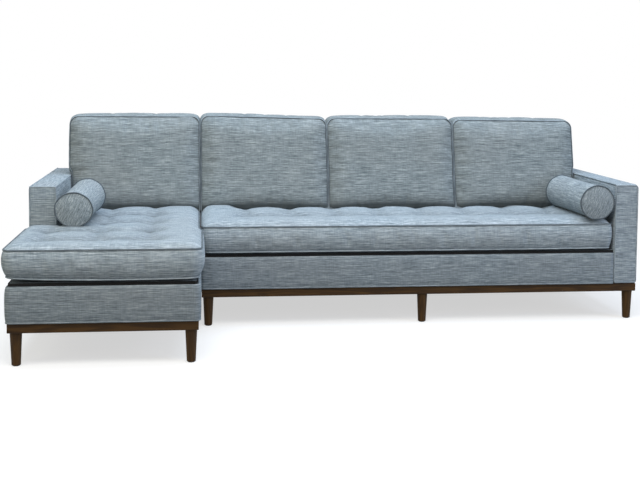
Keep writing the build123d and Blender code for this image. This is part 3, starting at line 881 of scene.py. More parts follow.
    def band(self, line: Array, low_line: Array, foot: Array) -> Array:
        """The boxing's rows between the seams: ruled from seam to seam, then swollen outwards.

        A crease in the front and a neighbour at a side take some of the swelling away.

        Args:
            line: the face's seam.
            low_line: the rear panel's seam.
            foot: the rear seam's heights.

        Returns:
            Rows by seam points by 3, in the panel's frame.
        """
        normal = right_of(loop_way(line))
        rows = (np.arange(1, self.band_rows) / self.band_rows)[:, None]
        pinch = np.ones(len(line))
        for place in self.creases:
            pinch -= 0.35 * np.exp(-(((line[:, 0] - place) / 0.007) ** 2)) * (normal[:, 1] < -0.9)
        for side in self.sides:
            pinch *= side.factor(line, normal)
        uneven = 1 + 0.14 * ripple(run_lengths(line) * 7, self.seed + 2) * (np.abs(pinch) > 0.9)
        out = self.bulge * np.sin(np.pi * rows) ** 0.7 * (pinch * uneven)
        flat = low_line + (line - low_line) * rows[..., None] + out[..., None] * normal
        return np.dstack([flat, foot + (self.boxing / 2 - foot) * rows])

    def build(self, material: Material) -> None:
        """Makes the closed mesh with the group that holds it while it swells.

        Args:
            material: the cover's finish.
        """
        self.lattice()
        depth = seam_depth(self.outline, self.a, self.b, 0.02)
        swell = np.sqrt(1 - (1 - np.minimum(depth / self.crown_reach, 1)) ** 2)
        pull = self.dimples()
        drifts = ripple(self.a * 9 + self.b * 4, self.seed), ripple(self.b * 11 - self.a * 3, self.seed + 1)
        wander = 0.0016 * drifts[0] * drifts[1]
        face = self.boxing / 2 + self.crown * swell - pull * np.minimum(swell * 1.3, 1) + wander * swell
        face = (face + self.puckers())[self.used]
        share = (self.a - self.xs[0]) / (self.xs[-1] - self.xs[0])
        lifted = self.lift[0] * (1 - share) ** 4 + self.lift[1] * share**6
        rear = (-self.boxing / 2 - self.rear_crown * swell + lifted)[self.used]
        panel = np.stack(self.strayed(*self.rounded()), axis=-1)[self.used]
        self.count = count = len(panel)
        low, high = panel.min(axis=0), panel.max(axis=0)
        drawn = panel - (panel - (low + high) / 2) * 2 * np.array(self.under) / (high - low)
        line = panel[self.loop]
        band = self.band(line, drawn[self.loop], rear[self.loop]).reshape(-1, 3)
        local = np.concatenate([np.column_stack([panel, face]), np.column_stack([drawn, rear]), band])
        band_ids = 2 * count + np.arange(len(band)).reshape(-1, len(line))
        self.ring = np.concatenate([self.loop[None] + count, band_ids, self.loop[None]])
        walls = cell_corners(np.concatenate([self.ring, self.ring[:, :1]], axis=1)).reshape(-1, 4)
        heights = np.linspace(0, self.boxing, self.band_rows + 1)
        wall_uvs = cell_corners(np.dstack(np.meshgrid(run_lengths(line, closed=True), heights))).reshape(-1, 4, 2)
        shift = np.random.default_rng(self.seed).uniform(0, 9, 2)
        uvs = np.concatenate([self.cell_uvs, self.cell_uvs[:, ::-1] + 3.1, wall_uvs + 5.3]) + shift
        quads = np.concatenate([self.cells, self.cells[:, ::-1] + count, walls])
        self.rest = self.basis.place(local)
        self.risen = (self.heel.over(self.a, self.ys[-1] - self.b) * swell)[self.used]
        self.piece = make_piece(self.name, Shell(self.rest, quads, uvs), material, weld=False)
        # painted shade: darker in the tufts and valleys, or along the foot where a back cushion meets the seat
        pressed = np.zeros(len(local), np.float32)
        if self.contact_shade_fade:
            above = np.maximum(panel[:, 1] - low[1] - self.contact, 0)
            pressed[:count] = np.exp(-above / self.contact_shade_fade)
        else:
            pressed[:count] = np.clip(pull[self.used] / (self.tuft_depth + self.valley), 0, 1) * swell[self.used]
        self.piece.data.attributes.new("pressed", "FLOAT", "POINT").data.foreach_set("value", pressed)
        self.hold(local, pull)

    def hold(self, local: Array, pull: Array) -> None:
        """Marks what the swelling leaves in place: the rear panel, the seams and the tufts' middles.

        Args:
            local: the mesh's points in the panel's frame.
            pull: the tufts' drop over the lattice.
        """
        held = np.zeros(len(local))
        held[self.count : 2 * self.count] = 1
        held[self.loop] = 1
        if len(self.tufts):
            held[: self.count] = np.maximum(held[: self.count], pull[self.used] > 0.8 * self.tuft_depth)
        group = self.piece.vertex_groups.new(name="held")
        group.add(np.flatnonzero(held > 0.5).tolist(), 1.0, "REPLACE")

    def swell(self) -> None:
        """Adds the cloth that the cover swells with, under pressure and with no weight."""
        cloth = self.piece.modifiers.new("swell", "CLOTH")
        cloth.settings.quality = 5
        cloth.settings.mass = 0.12
        cloth.settings.tension_stiffness = 12
        cloth.settings.compression_stiffness = 12
        cloth.settings.shear_stiffness = 5
        cloth.settings.bending_stiffness = 0.6
        cloth.settings.use_pressure = True
        cloth.settings.uniform_pressure_force = self.pressure
        cloth.settings.shrink_min = -self.slack
        cloth.settings.vertex_group_mass = "held"
        cloth.settings.effector_weights.gravity = 0
        cloth.collision_settings.use_collision = False
        cloth.point_cache.frame_start = 1
        cloth.point_cache.frame_end = CLOTH_FRAMES

    def settle(self) -> None:
        """Keeps the swollen shape: each point's move is capped, then held under the ceiling and over the floor."""
        points = self.rest
        if "swell" in self.piece.modifiers:
            seen = self.piece.evaluated_get(bpy.context.evaluated_depsgraph_get())
            moved = np.empty(len(self.rest) * 3, np.float32)
            seen.data.vertices.foreach_get("co", moved)
            move = moved.reshape(-1, 3).astype(float) - self.rest
            size = np.linalg.norm(move, axis=1, keepdims=True)
            LOG.info("%s swells by up to %.1f mm", self.name, 1000 * size.max())
            points = self.rest + move * (self.cap * np.tanh(size / self.cap) / np.maximum(size, 1e-9))
            self.piece.modifiers.remove(self.piece.modifiers["swell"])
        knee = 0.003
        over = np.maximum(points[:, 2] - self.ceiling_z + knee, 0)
        points[:, 2] -= over - knee * (1 - np.exp(-over / knee))
        points[:, 2] = np.maximum(points[:, 2], self.floor_z)
        points[: self.count, 2] += self.risen
        for seat in self.rests_on:
            points[:, 2] = np.maximum(points[:, 2], seat.height_at(points[:, 0], points[:, 1]) + 0.0006)
        self.points = points
        self.piece.data.vertices.foreach_set("co", points.astype(np.float32).ravel())
        self.piece.data.update()

    def height_at(self, x: Array, y: Array) -> Array:
        """The level face's height at row places, read between the four lattice points round each; 0 outside.

        Args:
            x: row places across.
            y: row places along.

        Returns:
            The heights.
        """
        level = np.zeros(self.used.shape)
        level[self.used] = self.points[: self.count, 2]
        i = np.clip(np.searchsorted(self.ys, y) - 1, 0, len(self.ys) - 2)
        j = np.clip(np.searchsorted(self.xs, x) - 1, 0, len(self.xs) - 2)
        t = np.clip((y - self.ys[i]) / (self.ys[i + 1] - self.ys[i]), 0, 1)
        u = np.clip((x - self.xs[j]) / (self.xs[j + 1] - self.xs[j]), 0, 1)
        near = level[i, j] * (1 - u) + level[i, j + 1] * u
        far = level[i + 1, j] * (1 - u) + level[i + 1, j + 1] * u
        over = (x > self.xs[0]) & (x < self.xs[-1]) & (y > self.ys[0]) & (y < self.ys[-1])
        return np.where(over, near * (1 - t) + far * t, 0.0)

    def dress(self, face_welt: Material, rear_welt: Material) -> None:
        """Smooths the cover, sews the welts on both seams, parents them to the body and hides the CAD node.

        Args:
            face_welt: finish of the welt round the face.
            rear_welt: finish of the other welt.
        """
        smooth = self.piece.modifiers.new("smooth", "SUBSURF")
        smooth.levels = smooth.render_levels = 1
        for end, label, way, material in ((0, "rear", -1, rear_welt), (-1, "face", 1, face_welt)):
            seam = self.points[self.ring[end]]
            after = np.roll(seam, -1, axis=0)
            path = np.stack([seam * 0.75 + after * 0.25, seam * 0.25 + after * 0.75], axis=1).reshape(-1, 3)
            outward = unit(np.cross(loop_way(path), self.basis.out))
            path = path + self.welt * (0.25 * way * self.basis.out + 0.3 * outward)
            path[:, 2] = np.maximum(path[:, 2], self.floor_z + self.welt)
            cord = tube(path, self.welt, closed=True, guide=self.basis.out)
            enrol(make_piece(f"{self.name}_{label}_welt", cord, material), self.body)
        enrol(self.piece, self.body, (self.node,))
        LOG.info("%s: %d points", self.name, len(self.points))


def seat_cushions() -> list[BoxedCushion]:
    """The bench cushion and the L-shaped chaise cushion, on their CAD solids' seam lines."""
    free, tight = 0.012, 0.0045
    low, high = span("bench_seat_cushion")
    seam_low = low[2] + 0.0105

    def level(seam_high: float) -> Basis:
        """A level panel's frame, halfway between the seams."""
        return Basis(np.array([0, 0, (seam_low + seam_high) / 2]), RIGHT, REARWARD, UP)

    bench_seam, chaise_seam = high[2] - 0.0285, high[2] - 0.024
    x0, x1, y0, y1 = low[0] + tight, high[0] - 0.008, low[1] + free, high[1] - free
    arm_low, arm_high = span("left_arm_upholstery")
    right_arm = span("right_arm_upholstery")[0]
    base = span("sofa_front_upholstery")[0]
    pitch = (right_arm[0] - base[0]) / 9
    rows = base[1] + 0.24 + 0.25 * np.arange(2)
    bench = BoxedCushion(
        "bench_cushion_cover",
        "bench_seat_cushion",
        "bench_cushion",
        level(bench_seam),
        [(x0, y0), (x1, y0), (x1, y1), (x0, y1)],
        boxing=bench_seam - seam_low,
        crown=0.0345,
        rear_crown=0.0098,
        fill=0.8,
        seed=11,
        tufts=np.array([(base[0] + pitch * column, y) for column in range(1, 9) for y in rows]),
        corners=(0.034, 0.02, 0.03, 0.03),
        sides=(Side(0, -1, 0.3), Side(0, 1, 0.75)),
        under=(0.007, 0.002),
        lift=(0.0, 0.002),
        heel=Heel(0.013, x1, 1),
        creases=(0.62, 0.87),
        floor_z=low[2] + HAIR,
        ceiling_z=high[2] - 0.0006,
    )
    c_low, c_high = span("chaise_seat_cushion")
    cx0, cx1, cy0, cy1 = c_low[0] + 0.002, c_high[0] - tight, c_low[1] + free, c_high[1] - free
    notch_x, notch_y = arm_high[0] + 0.015, arm_low[1] - 0.015
    front, right_side = span("chaise_front_upholstery")
    chaise_pitch = (right_side[0] - arm_high[0]) / 3
    chaise_rows = front[1] + 0.172 + 0.25 * np.arange(5)
    columns = right_side[0] - chaise_pitch * np.arange(1, 3)
    tufts = [(x, y) for x in columns for y in chaise_rows if y < cy1 - 0.08]
    tufts += [(arm_high[0], y) for y in chaise_rows if y < notch_y - 0.09]
    chaise = BoxedCushion(
        "chaise_cushion_cover",
        "chaise_seat_cushion",
        "chaise_cushion",
        level(chaise_seam),
        [(cx0, cy0), (cx1, cy0), (cx1, cy1), (notch_x, cy1), (notch_x, notch_y), (cx0, notch_y)],
        boxing=chaise_seam - seam_low,
        crown=0.030,
        rear_crown=0.0098,
        fill=0.8,
        seed=23,
        tufts=np.array(tufts),
        bulge=0.0135,
        corners=(0.036, 0.036, 0.03, 0.03, 0.03, 0.03),
        right=EdgeDrift(shelf=0.0125, start=base[1] - 0.035, run=-0.1),
        sides=(Side(0, 1, 0.25, low=base[1] - 0.03),),
        under=(0.01, 0.002),
        lift=(0.012, 0.004),
        heel=Heel(0.009, notch_x, -1),
        floor_z=c_low[2] + HAIR,
        ceiling_z=c_high[2] - 0.0006,
    )
    return [bench, chaise]


def back_cushions(seats: list[BoxedCushion]) -> list[BoxedCushion]:
    """The four back cushions, leaning on the backs and standing on the seats.

    Args:
        seats: the cushions that they settle on.

    Returns:
        The cushions, not built yet.
    """
    lean = math.radians(10)
    forward = np.array([0, -math.cos(lean), math.sin(lean)])
    upward = np.array([0, math.sin(lean), math.cos(lean)])
    deck = span("sofa_deck")[1]
    boxing, height, top, swell = 0.19, 0.485, 0.932, 0.024
    foot = np.array([0, deck[1], deck[2]]) + forward * (boxing / 2 + 0.0303)
    rise = (top - foot[2] - forward[2] * boxing / 2) / upward[2] + 0.012
    arm_top = span("left_arm_upholstery")[1][2]
    shelf_from = (arm_top + 0.006 - foot[2]) / upward[2] - (rise - height) - 0.012
    second, third = EdgeDrift(4, 0.0025, head=-0.004), EdgeDrift(6, 0.003, foot=0.014)
    over_arm = {"start": shelf_from, "run": 0.035}
    loose = {
        "chaise": ((0.007, 0.007), EdgeDrift(shelf=-0.0155, **over_arm), EdgeDrift(3, 0.0012)),
        "left": ((0.012, -0.003), EdgeDrift(3, 0.0012), second),
        "centre": ((0.0, 0.0), second, third),
        "right": ((-0.006, -0.011), third, EdgeDrift(head=-0.009, shelf=0.006, **over_arm)),
    }
    made = []
    spans = [span(f"back_cushion_{place}") for place in loose]
    gaps = [0.004] + [after[0][0] - before[1][0] for before, after in zip(spans, spans[1:])] + [0.004]
    for seed, (place, (ends, left, right)) in enumerate(loose.items()):
        low, high = spans[seed]
        origin = foot + upward * (rise - height) + np.array([(low[0] + high[0]) / 2, 0, 0])
        basis = Basis(origin, RIGHT, upward, forward)
        half = (high[0] - low[0]) / 2 - 0.0042
        beside = [Side(0, way, (gap / 2 + 0.004) / swell) for way, gap in ((-1, gaps[seed]), (1, gaps[seed + 1]))]
        outline = [(-half, -0.02), (half, -0.02), (half, height - 0.024), (-half, height - 0.024)]
        made.append(
            BoxedCushion(
                f"{place}_back_cushion_cover",
                f"back_cushion_{place}",
                f"{place}_back_pillow",
                basis,
                outline,
                boxing=boxing,
                crown=0.036,
                rear_crown=0.029,
                fill=0.7,
                seed=40 + 7 * seed,
                crown_reach=0.11,
                bulge=swell,
                corners=(0.02, 0.02, 0.037, 0.037),
                step=0.009,
                band_rows=16,
                pressure=5.0,
                cap=0.01,
                slack=0.02,
                rise=ends,
                left=left,
                right=right,
                sides=(*beside, Side(1, -1, 0.1)),
                gather=0.0028,
                # painted shade along the foot, where the cushion meets the seat
                contact_shade_fade=0.014,
                floor_z=low[2] - 0.04,
                rests_on=seats,
            )
        )
    return made


@dataclass
class Bolster:
    """A round bolster: a circle of its radius carried along its axis, domed ends, a welt at each end seam.

    The radius loses `waist` by half a sine along the length, and gathers of `gather` fade from each end seam.
    Towards the front the roll has settled: its height shrinks by a share that grows to `settle`.
    """

    name: str
    node: str
    body: str
    toe: float
    seed: int
    radius: float = 0.08
    length: float = 0.465
    dome: float = 0.011
    waist: float = 0.0025
    gather: float = 0.0009
    settle: float = 0.09
    welt: float = 0.0033

    def build(self, material: Material, piping: Material) -> None:
        """Makes the roll and its welts.

        Args:
            material: the cover's finish.
            piping: the welts' finish.
        """
        low, high = span(self.node)
        turn = math.radians(self.toe)
        axis = np.array([-math.sin(turn), math.cos(turn), 0.0])
        middle = (low + high) / 2
        side = np.cross(axis, UP)
        frame_rows = np.stack([side, UP, axis])
        angle = np.linspace(0, 2 * np.pi, 72, endpoint=False)
        share = np.linspace(0, 1, 49)
        near_end = np.exp(-share * self.length / 0.03) + np.exp(-(1 - share) * self.length / 0.03)
        folds = ripple(angle * 9, self.seed, (1, 2, 3))[None] * near_end[:, None] * self.gather
        swell = -self.waist * np.sin(np.pi * share)[:, None] + folds
        body_r = self.radius + swell + 0.0008 * ripple(angle * 2, self.seed + 4, (1, 2))[None]
        rings = np.sqrt(np.linspace(0, 1, 13)[:-1])
        cap_r = rings[:, None] * body_r[:1]
        cap_out = self.dome * (1 - rings**2)
        radii = np.concatenate([cap_r, body_r, cap_r[::-1]])
        lift = np.concatenate(
            [-self.length / 2 - cap_out, (share - 0.5) * self.length, self.length / 2 + cap_out[::-1]]
        )
        x = radii * np.cos(angle)
        y = radii * np.sin(angle)
        bottom = -(self.radius - 0.0015)
        y = np.where(y < bottom + 0.004, bottom + 0.004 * np.exp((y - bottom - 0.004) / 0.004), y)
        settled = 1 - self.settle * np.clip(0.5 - lift / self.length, 0, 1)[:, None]
        y = bottom + (y - bottom) * settled
        local = np.stack([x, y, np.broadcast_to(lift[:, None], x.shape)], axis=-1)
        points = middle + local @ frame_rows
        caps = len(rings)
        around = np.append(angle, 2 * np.pi) * self.radius
        flat = np.stack([x, y], axis=-1) @ np.array([[1.4, -0.91], [3.1, 0.42]]) + 2.7
        shell = capped_sleeve(points, lift, around, flat, caps)
        shell.uvs = shell.uvs + self.seed
        roll = make_piece(self.name, shell, material)
        for end, label in ((caps, "front"), (caps + len(share) - 1, "rear")):
            ring = points[end] + 0.35 * self.welt * unit(points[end] - points[end].mean(axis=0))
            cord = tube(ring, self.welt, closed=True, guide=-axis)
            enrol(make_piece(f"{self.name}_{label}_welt", cord, piping), self.body)
        enrol(roll, self.body, (self.node,))
        LOG.info("%s: roll of %.0f mm", self.name, 2000 * self.radius)


def rounded_profile(corners: Outline, radius: float | Sequence[float], step: float, puff: float) -> Array:
    """A closed anticlockwise profile with arcs at its corners and sides that bow out by 4 * puff * s * (1 - s).

    Args:
        corners: in order.
        radius: of each arc, or one for each corner.
        step: spacing along the sides.
        puff: how far a side's middle stands out.

    Returns:
        The profile's points, two to a row.
    """
    places = np.array(corners, float)
    come = unit(places - np.roll(places, 1, axis=0))
    leave = unit(np.roll(places, -1, axis=0) - places)
    turn = np.arctan2(come[:, 0] * leave[:, 1] - come[:, 1] * leave[:, 0], np.sum(come * leave, axis=1))
    radii = np.broadcast_to(np.array(radius, float), len(places))
    cut = (radii * np.tan(turn / 2))[:, None]
    starts, ends = places - come * cut, places + leave * cut
    runs = []
    for index in range(len(places)):
        sweep = np.linspace(0, turn[index], 6)
        inward = np.array([-come[index, 1], come[index, 0]])
        centre = starts[index] + inward * radii[index]
        spoke = -inward * radii[index]
        cosine, sine = np.cos(sweep), np.sin(sweep)
        arc = [spoke[0] * cosine - spoke[1] * sine, spoke[0] * sine + spoke[1] * cosine]
        goal = starts[(index + 1) % len(places)]
        run = goal - ends[index]
        count = max(2, round(np.linalg.norm(run) / step))
        share = (np.arange(1, count) / count)[:, None]
        outward = np.array([leave[index, 1], -leave[index, 0]])
        side = ends[index] + share * run + outward * (4 * puff * share * (1 - share))
        runs += [centre + np.stack(arc, axis=-1), side]
    return np.concatenate(runs)


@dataclass
class PaddedBlock:
    """An upholstered block: a rounded profile carried along one row axis, with soft ends.

    Near each end the profile shrinks by radius * (1 - sin t) while it moves in by radius * (1 - cos t).
    """

    name: str
    nodes: tuple[str, ...]
    body: str
    axis: Grain
    corners: Outline
    reach: tuple[float, float]
    radius: float = 0.008
    radii: tuple[float, ...] = ()
    puff: float = 0.0015
    step: float = 0.03
    seed: int = 3
    slot: str = "base_tweed"
    fill: float = 0.95

    def lift(self, flat: Array, along: Array) -> Array:
        """Row points from profile pairs and places along the axis."""
        order = {Grain.X: (2, 0, 1), Grain.Y: (0, 2, 1), Grain.Z: (0, 1, 2)}[self.axis]
        stacked = np.concatenate([flat, np.broadcast_to(along[..., None], (*flat.shape[:-1], 1))], axis=-1)
        return stacked[..., list(order)]

    def build(self, material: Material) -> None:
        """Makes the block.

        Args:
            material: its finish.
        """
        radii = self.radii or (self.radius,)
        full = rounded_profile(self.corners, radii, self.step, self.puff)
        plain = rounded_profile(self.corners, radii, self.step, 0.0)
        normal = right_of(loop_way(plain))
        sweep = np.linspace(0, np.pi / 2, 5)
        low, high = self.reach
        inner = ruled_line([low + self.radius, high - self.radius], self.step)[1:-1]
        ease, pull = self.radius * (1 - np.sin(sweep)), self.radius * (1 - np.cos(sweep))
        places = np.concatenate([low + ease[::-1], inner, high - ease])
        inset = np.concatenate([pull[::-1], 0 * inner, pull])
        share = (places - low) / (high - low)
        fullness = np.clip(1 - (2 * share - 1) ** 6, 0, 1)
        rings = plain[None] + (full - plain)[None] * fullness[:, None, None] - normal[None] * inset[:, None, None]
        centre = plain.mean(axis=0)
        scales = np.array([0.0, 0.25, 0.5, 0.75])
        caps = [centre + (rings[end] - centre)[None] * scales[:, None, None] for end in (0, -1)]
        flat = np.concatenate([caps[0], rings, caps[1][::-1]])
        along = np.concatenate([np.full(len(scales), low), places, np.full(len(scales), high)])
        points = self.lift(flat, np.broadcast_to(along[:, None], flat.shape[:2]))
        shell = capped_sleeve(points, along, run_lengths(plain, closed=True), flat, len(scales) + 1)
        shell.uvs = shell.uvs + self.seed * 0.77
        self.profile, self.normal = plain, normal
        enrol(make_piece(self.name, shell, material), self.body, self.nodes)
        LOG.info("%s: padded block", self.name)


def sew_welt(name: str, path: Array, body: str, material: Material, closed: bool = False) -> None:
    """Sews a welt along a path and lets it ride on a body.

    Args:
        name: the welt's name.
        path: its middle line.
        body: what it moves with.
        material: its finish.
        closed: the path is a loop.
    """
    enrol(make_piece(name, tube(path, COVER_WELT, closed), material), body)


def straight(start: Sequence[float], end: Sequence[float], wave: float = 0.0004, seed: int = 1) -> Array:
    """Points from start to end with a faint waver.

    Args:
        start: first point.
        end: last point.
        wave: height of the waver.
        seed: picks the waver.

    Returns:
        The points.
    """
    start, end = np.array(start, float), np.array(end, float)
    count = max(2, round(np.linalg.norm(end - start) / PATH_STEP))
    share = np.linspace(0, 1, count + 1)
    waver = wave * ripple(share * count * 0.6, seed)
    return start + share[:, None] * (end - start) + waver[:, None] * UP


def cornered(points: Sequence[Sequence[float]], radius: float) -> Array:
    """A level path through points with its corners rounded, sampled evenly.

    Args:
        points: corners in the row frame, all at one height.
        radius: of each corner.

    Returns:
        The path.
    """
    corners = np.array(points, float)
    pieces = [corners[:1]]
    for before, here, after in zip(corners, corners[1:], corners[2:]):
        come, leave = unit(here - before), unit(after - here)
        share = np.linspace(0, np.pi / 2, 7)[:, None]
        centre = here - come * radius + leave * radius
        pieces.append(centre - leave * radius * np.cos(share) + come * radius * np.sin(share))
    path = np.concatenate(pieces + [corners[-1:]])
    reach = run_lengths(path)
    even = np.unique(np.concatenate([np.linspace(0, reach[-1], max(2, round(reach[-1] / PATH_STEP))), reach]))
    return np.stack([np.interp(even, reach, path[:, axis]) for axis in range(3)], axis=-1)


@dataclass
class BaseWrap:
    """Upholstery drawn round a base: an upright profile carried along a level path of its outer face.

    Where the two pieces stand side by side, from `beside` back, the padding doesn't stand out.
    """

    name: str
    nodes: tuple[str, ...]
    body: str
    turns: list[tuple[float, float]]
    low: float
    high: float
    beside: float
    thickness: float = 0.012
    radius: float = 0.0028
    corner: float = 0.02
    puff: float = 0.006
    lip: float = 0.0125

    def freedom(self, path: Array) -> Array:
        """1 where the padding is free to stand out, falling to 0 beside the other piece and at the path's ends."""
        seam = span("chaise_right_upholstery")[1][0]
        back = np.clip((self.beside - path[:, 1]) / 0.08, 0, 1)
        reach = run_lengths(path)
        ends = np.clip(np.minimum(reach, reach[-1] - reach) / 0.06, 0, 1)
        return np.where(np.abs(path[:, 0] - seam) < 0.03, back, 1.0) * ends

    def sweep(self, path: Array, profile: Array, stand: Array) -> Shell:
        """The closed surface of a profile carried along the path.

        Args:
            path: the level path.
            profile: distances out of the path and heights.
            stand: how much further out each profile point stands, for each path point.

        Returns:
            The surface, with the path's length and the profile's length as its UV.
        """
        outward = right_of(unit(np.gradient(path, axis=0)))
        stands = (profile[None, :, 0] + stand)[..., None]
        points = path[:, None] + outward[:, None] * stands + UP * profile[None, :, 1:]
        centre = points.mean(axis=1, keepdims=True)
        points = np.concatenate([centre[:1] + 0 * points[:1], points, centre[-1:] + 0 * points[-1:]])
        reach = run_lengths(path)
        along = np.concatenate([reach[:1], reach, reach[-1:]])
        return sleeve(points, along + 1.7, run_lengths(profile, closed=True) + 1.7)

    def build(self, material: Material, gap_shade_cloth: Material) -> None:
        """Makes the wrap, the welt along its lower edge and a black cloth strip over its padding, painted shade
        for the dark gap under the cushion.

        The outer face stands out by puff * (1 - q^4) over its height, less near a neighbour, and its upper edge
        turns in by a quarter circle. The black strip goes on up from there, set back to the frame, where it stands
        in for the shade of the gap.

        Args:
            material: the cover's finish.
            gap_shade_cloth: the black strip's finish, painted shade.
        """
        path = cornered([(x, y, 0.0) for x, y in self.turns], self.corner)
        top, back, step = self.high - self.lip, -self.thickness, 0.0035
        section = [(back, self.low), (0.0, self.low), (0.0, top), (back, top)]
        profile = rounded_profile(section, self.radius, step, 0.0)
        middle = np.clip(1 - ((profile[:, 1] - (self.low + top) / 2) / ((top - self.low) / 2)) ** 4, 0, 1)
        last = np.clip((profile[:, 1] - top + 0.007) / 0.007, 0, 1)
        shoulder = 0.0055 * (1 - np.sqrt(1 - last**2))
        outer = profile[:, 0] > back / 2
        stand = outer * (self.puff * self.freedom(path)[:, None] * middle[None] - shoulder[None])
        piece = make_piece(self.name, self.sweep(path, profile, stand), material)
        enrol(piece, self.body, self.nodes)
        # painted shade: a black cloth strip put in the gap under the cushion, where there is only shade
        inner, foot = back + 0.003, top - 0.004
        section = [(back, foot), (inner, foot), (inner, self.high), (back, self.high)]
        edge = rounded_profile(section, 0.001, step, 0.0)
        gap_shade_shell = self.sweep(path, edge, np.zeros((len(path), len(edge))))
        enrol(make_piece(f"{self.name}_edge_binding", gap_shade_shell, gap_shade_cloth), self.body)
        outward = right_of(unit(np.gradient(path, axis=0)))
        sew_welt(f"{self.name}_hem_welt", path + outward * 0.0012 + UP * (self.low + 0.004), self.body, material)
        LOG.info("%s: wrap of %d stations", self.name, len(path))


class Upholstery:
    """The fixed padding of both pieces: base wraps, decks, arms and backs."""

    def __init__(self, palette: Palette) -> None:
        """Keeps the finishes."""
        self.palette = palette

    def base(self) -> None:
        """The two base wraps and the three decks."""
        # painted shade: the base wraps wear a darker copy of the tweed and a black strip for the cushions'
        # overhang
        tweed, gap_shade_cloth = self.palette.base_tweed, self.palette.dust
        side, front = span("sofa_side_upholstery"), span("sofa_front_upholstery")
        BaseWrap(
            "sofa_base_wrap", ("sofa_side_upholstery", "sofa_front_upholstery"), "sofa",
            [(side[0][0], side[1][1]), (front[0][0], front[0][1]), (front[1][0], front[0][1])],
            front[0][2] + HAIR, front[1][2], front[0][1] - 0.02,
        ).build(tweed, gap_shade_cloth)
        left, fore, right = (span(f"chaise_{name}_upholstery") for name in ("left", "front", "right"))
        BaseWrap(
            "chaise_base_wrap",
            ("chaise_left_upholstery", "chaise_front_upholstery", "chaise_right_upholstery"), "chaise",
            [(left[0][0], left[1][1]), tuple(fore[0][:2]), (fore[1][0], fore[0][1]), tuple(right[1][:2])],
            fore[0][2] + HAIR, fore[1][2], front[0][1] - 0.02,
        ).build(tweed, gap_shade_cloth)
        for node, body in (("sofa_deck", "sofa"), ("chaise_front_deck", "chaise"), ("chaise_rear_deck", "chaise")):
            low, high = span(node)
            corners = [(low[1], low[2]), (high[1], low[2]), (high[1], high[2]), (low[1], high[2])]
            PaddedBlock(
                f"{node}_pad", (node,), body, Grain.X, corners, (low[0], high[0]), radius=0.004, puff=0.0,
                step=0.05, slot="deck_cloth",
            ).build(self.palette.deck)

    def arm(self, side: str, body: str) -> None:
        """One arm with welts round its front panel and along its top edges.

        Args:
            side: left or right.
            body: what it rides on.
        """
        tweed, left = self.palette.arm_tweed, side == "left"
        low, high = span(f"{side}_arm_upholstery")
        foot, top = low[2] + HAIR, high[2] - 0.0018
        block = PaddedBlock(
            f"{side}_arm_cover",
            (f"{side}_arm_upholstery",),
            body,
            Grain.Y,
            [(low[0], foot), (high[0], foot), (high[0], high[2]), (low[0], high[2])],
            (low[1], high[1]),
            radius=0.0105 if left else 0.0135,
            radii=() if left else (0.0138, 0.0138, 0.021, 0.0155),
            puff=0.0014,
            seed=5 if left else 8,
        )
        block.build(tweed)
        ring = block.profile - block.normal * (0.0019 if left else 0.0062)
        heights = np.maximum(ring[:, 1], low[2] + 0.004)
        front = np.column_stack([ring[:, 0], np.full(len(ring), low[1] + 0.0016), heights])
        sew_welt(f"{side}_arm_front_welt", front, body, tweed, closed=True)
        edges = {"outer": low[0] + 0.0022, "inner": high[0] - 0.0022} if left else {"inner": low[0] + 0.0022}
        for label, x in edges.items():
            path = straight((x, low[1] + 0.004, top), (x, high[1] - 0.006, top), seed=5)
            sew_welt(f"{side}_arm_{label}_welt", path, body, tweed)

    def back(self, name: str) -> None:
        """One back with its leaning face and the welts along its top.

        Args:
            name: sofa or chaise.
        """
        tweed = self.palette.tweed
        low, high = span(f"{name}_back_upholstery")
        deck = span("sofa_deck")[1][2]
        foot, top = low[2] + HAIR, high[2] - 0.002
        corners = [(low[1], foot), (high[1], foot), (high[1], high[2]), (high[1] - 0.125, high[2]), (low[1], deck)]
        PaddedBlock(
            f"{name}_back_cover", (f"{name}_back_upholstery",), name, Grain.X, corners, (low[0], high[0]),
            radius=0.0085, puff=0.0012, seed=13,
        ).build(tweed)
        for y, label in ((high[1] - 0.0024, "rear"), (high[1] - 0.1235, "fore")):
            path = straight((low[0] + 0.006, y, top), (high[0] - 0.006, y, top), seed=len(name))
            sew_welt(f"{name}_back_{label}_welt", path, name, tweed)
        for x, label in ((low[0] + 0.00205, "left"), (high[0] - 0.00205, "right")):
            y = high[1] - 0.0026
            path = straight((x, y, low[2] + 0.012), (x, y, high[2] - 0.006), wave=0.0)
            sew_welt(f"{name}_back_{label}_end_welt", path, name, tweed)

    def build(self) -> None:
        """Every fixed padded piece."""
        self.base()
        for side, body in (("left", "chaise"), ("right", "sofa")):
            self.arm(side, body)
        for name in ("sofa", "chaise"):
            self.back(name)


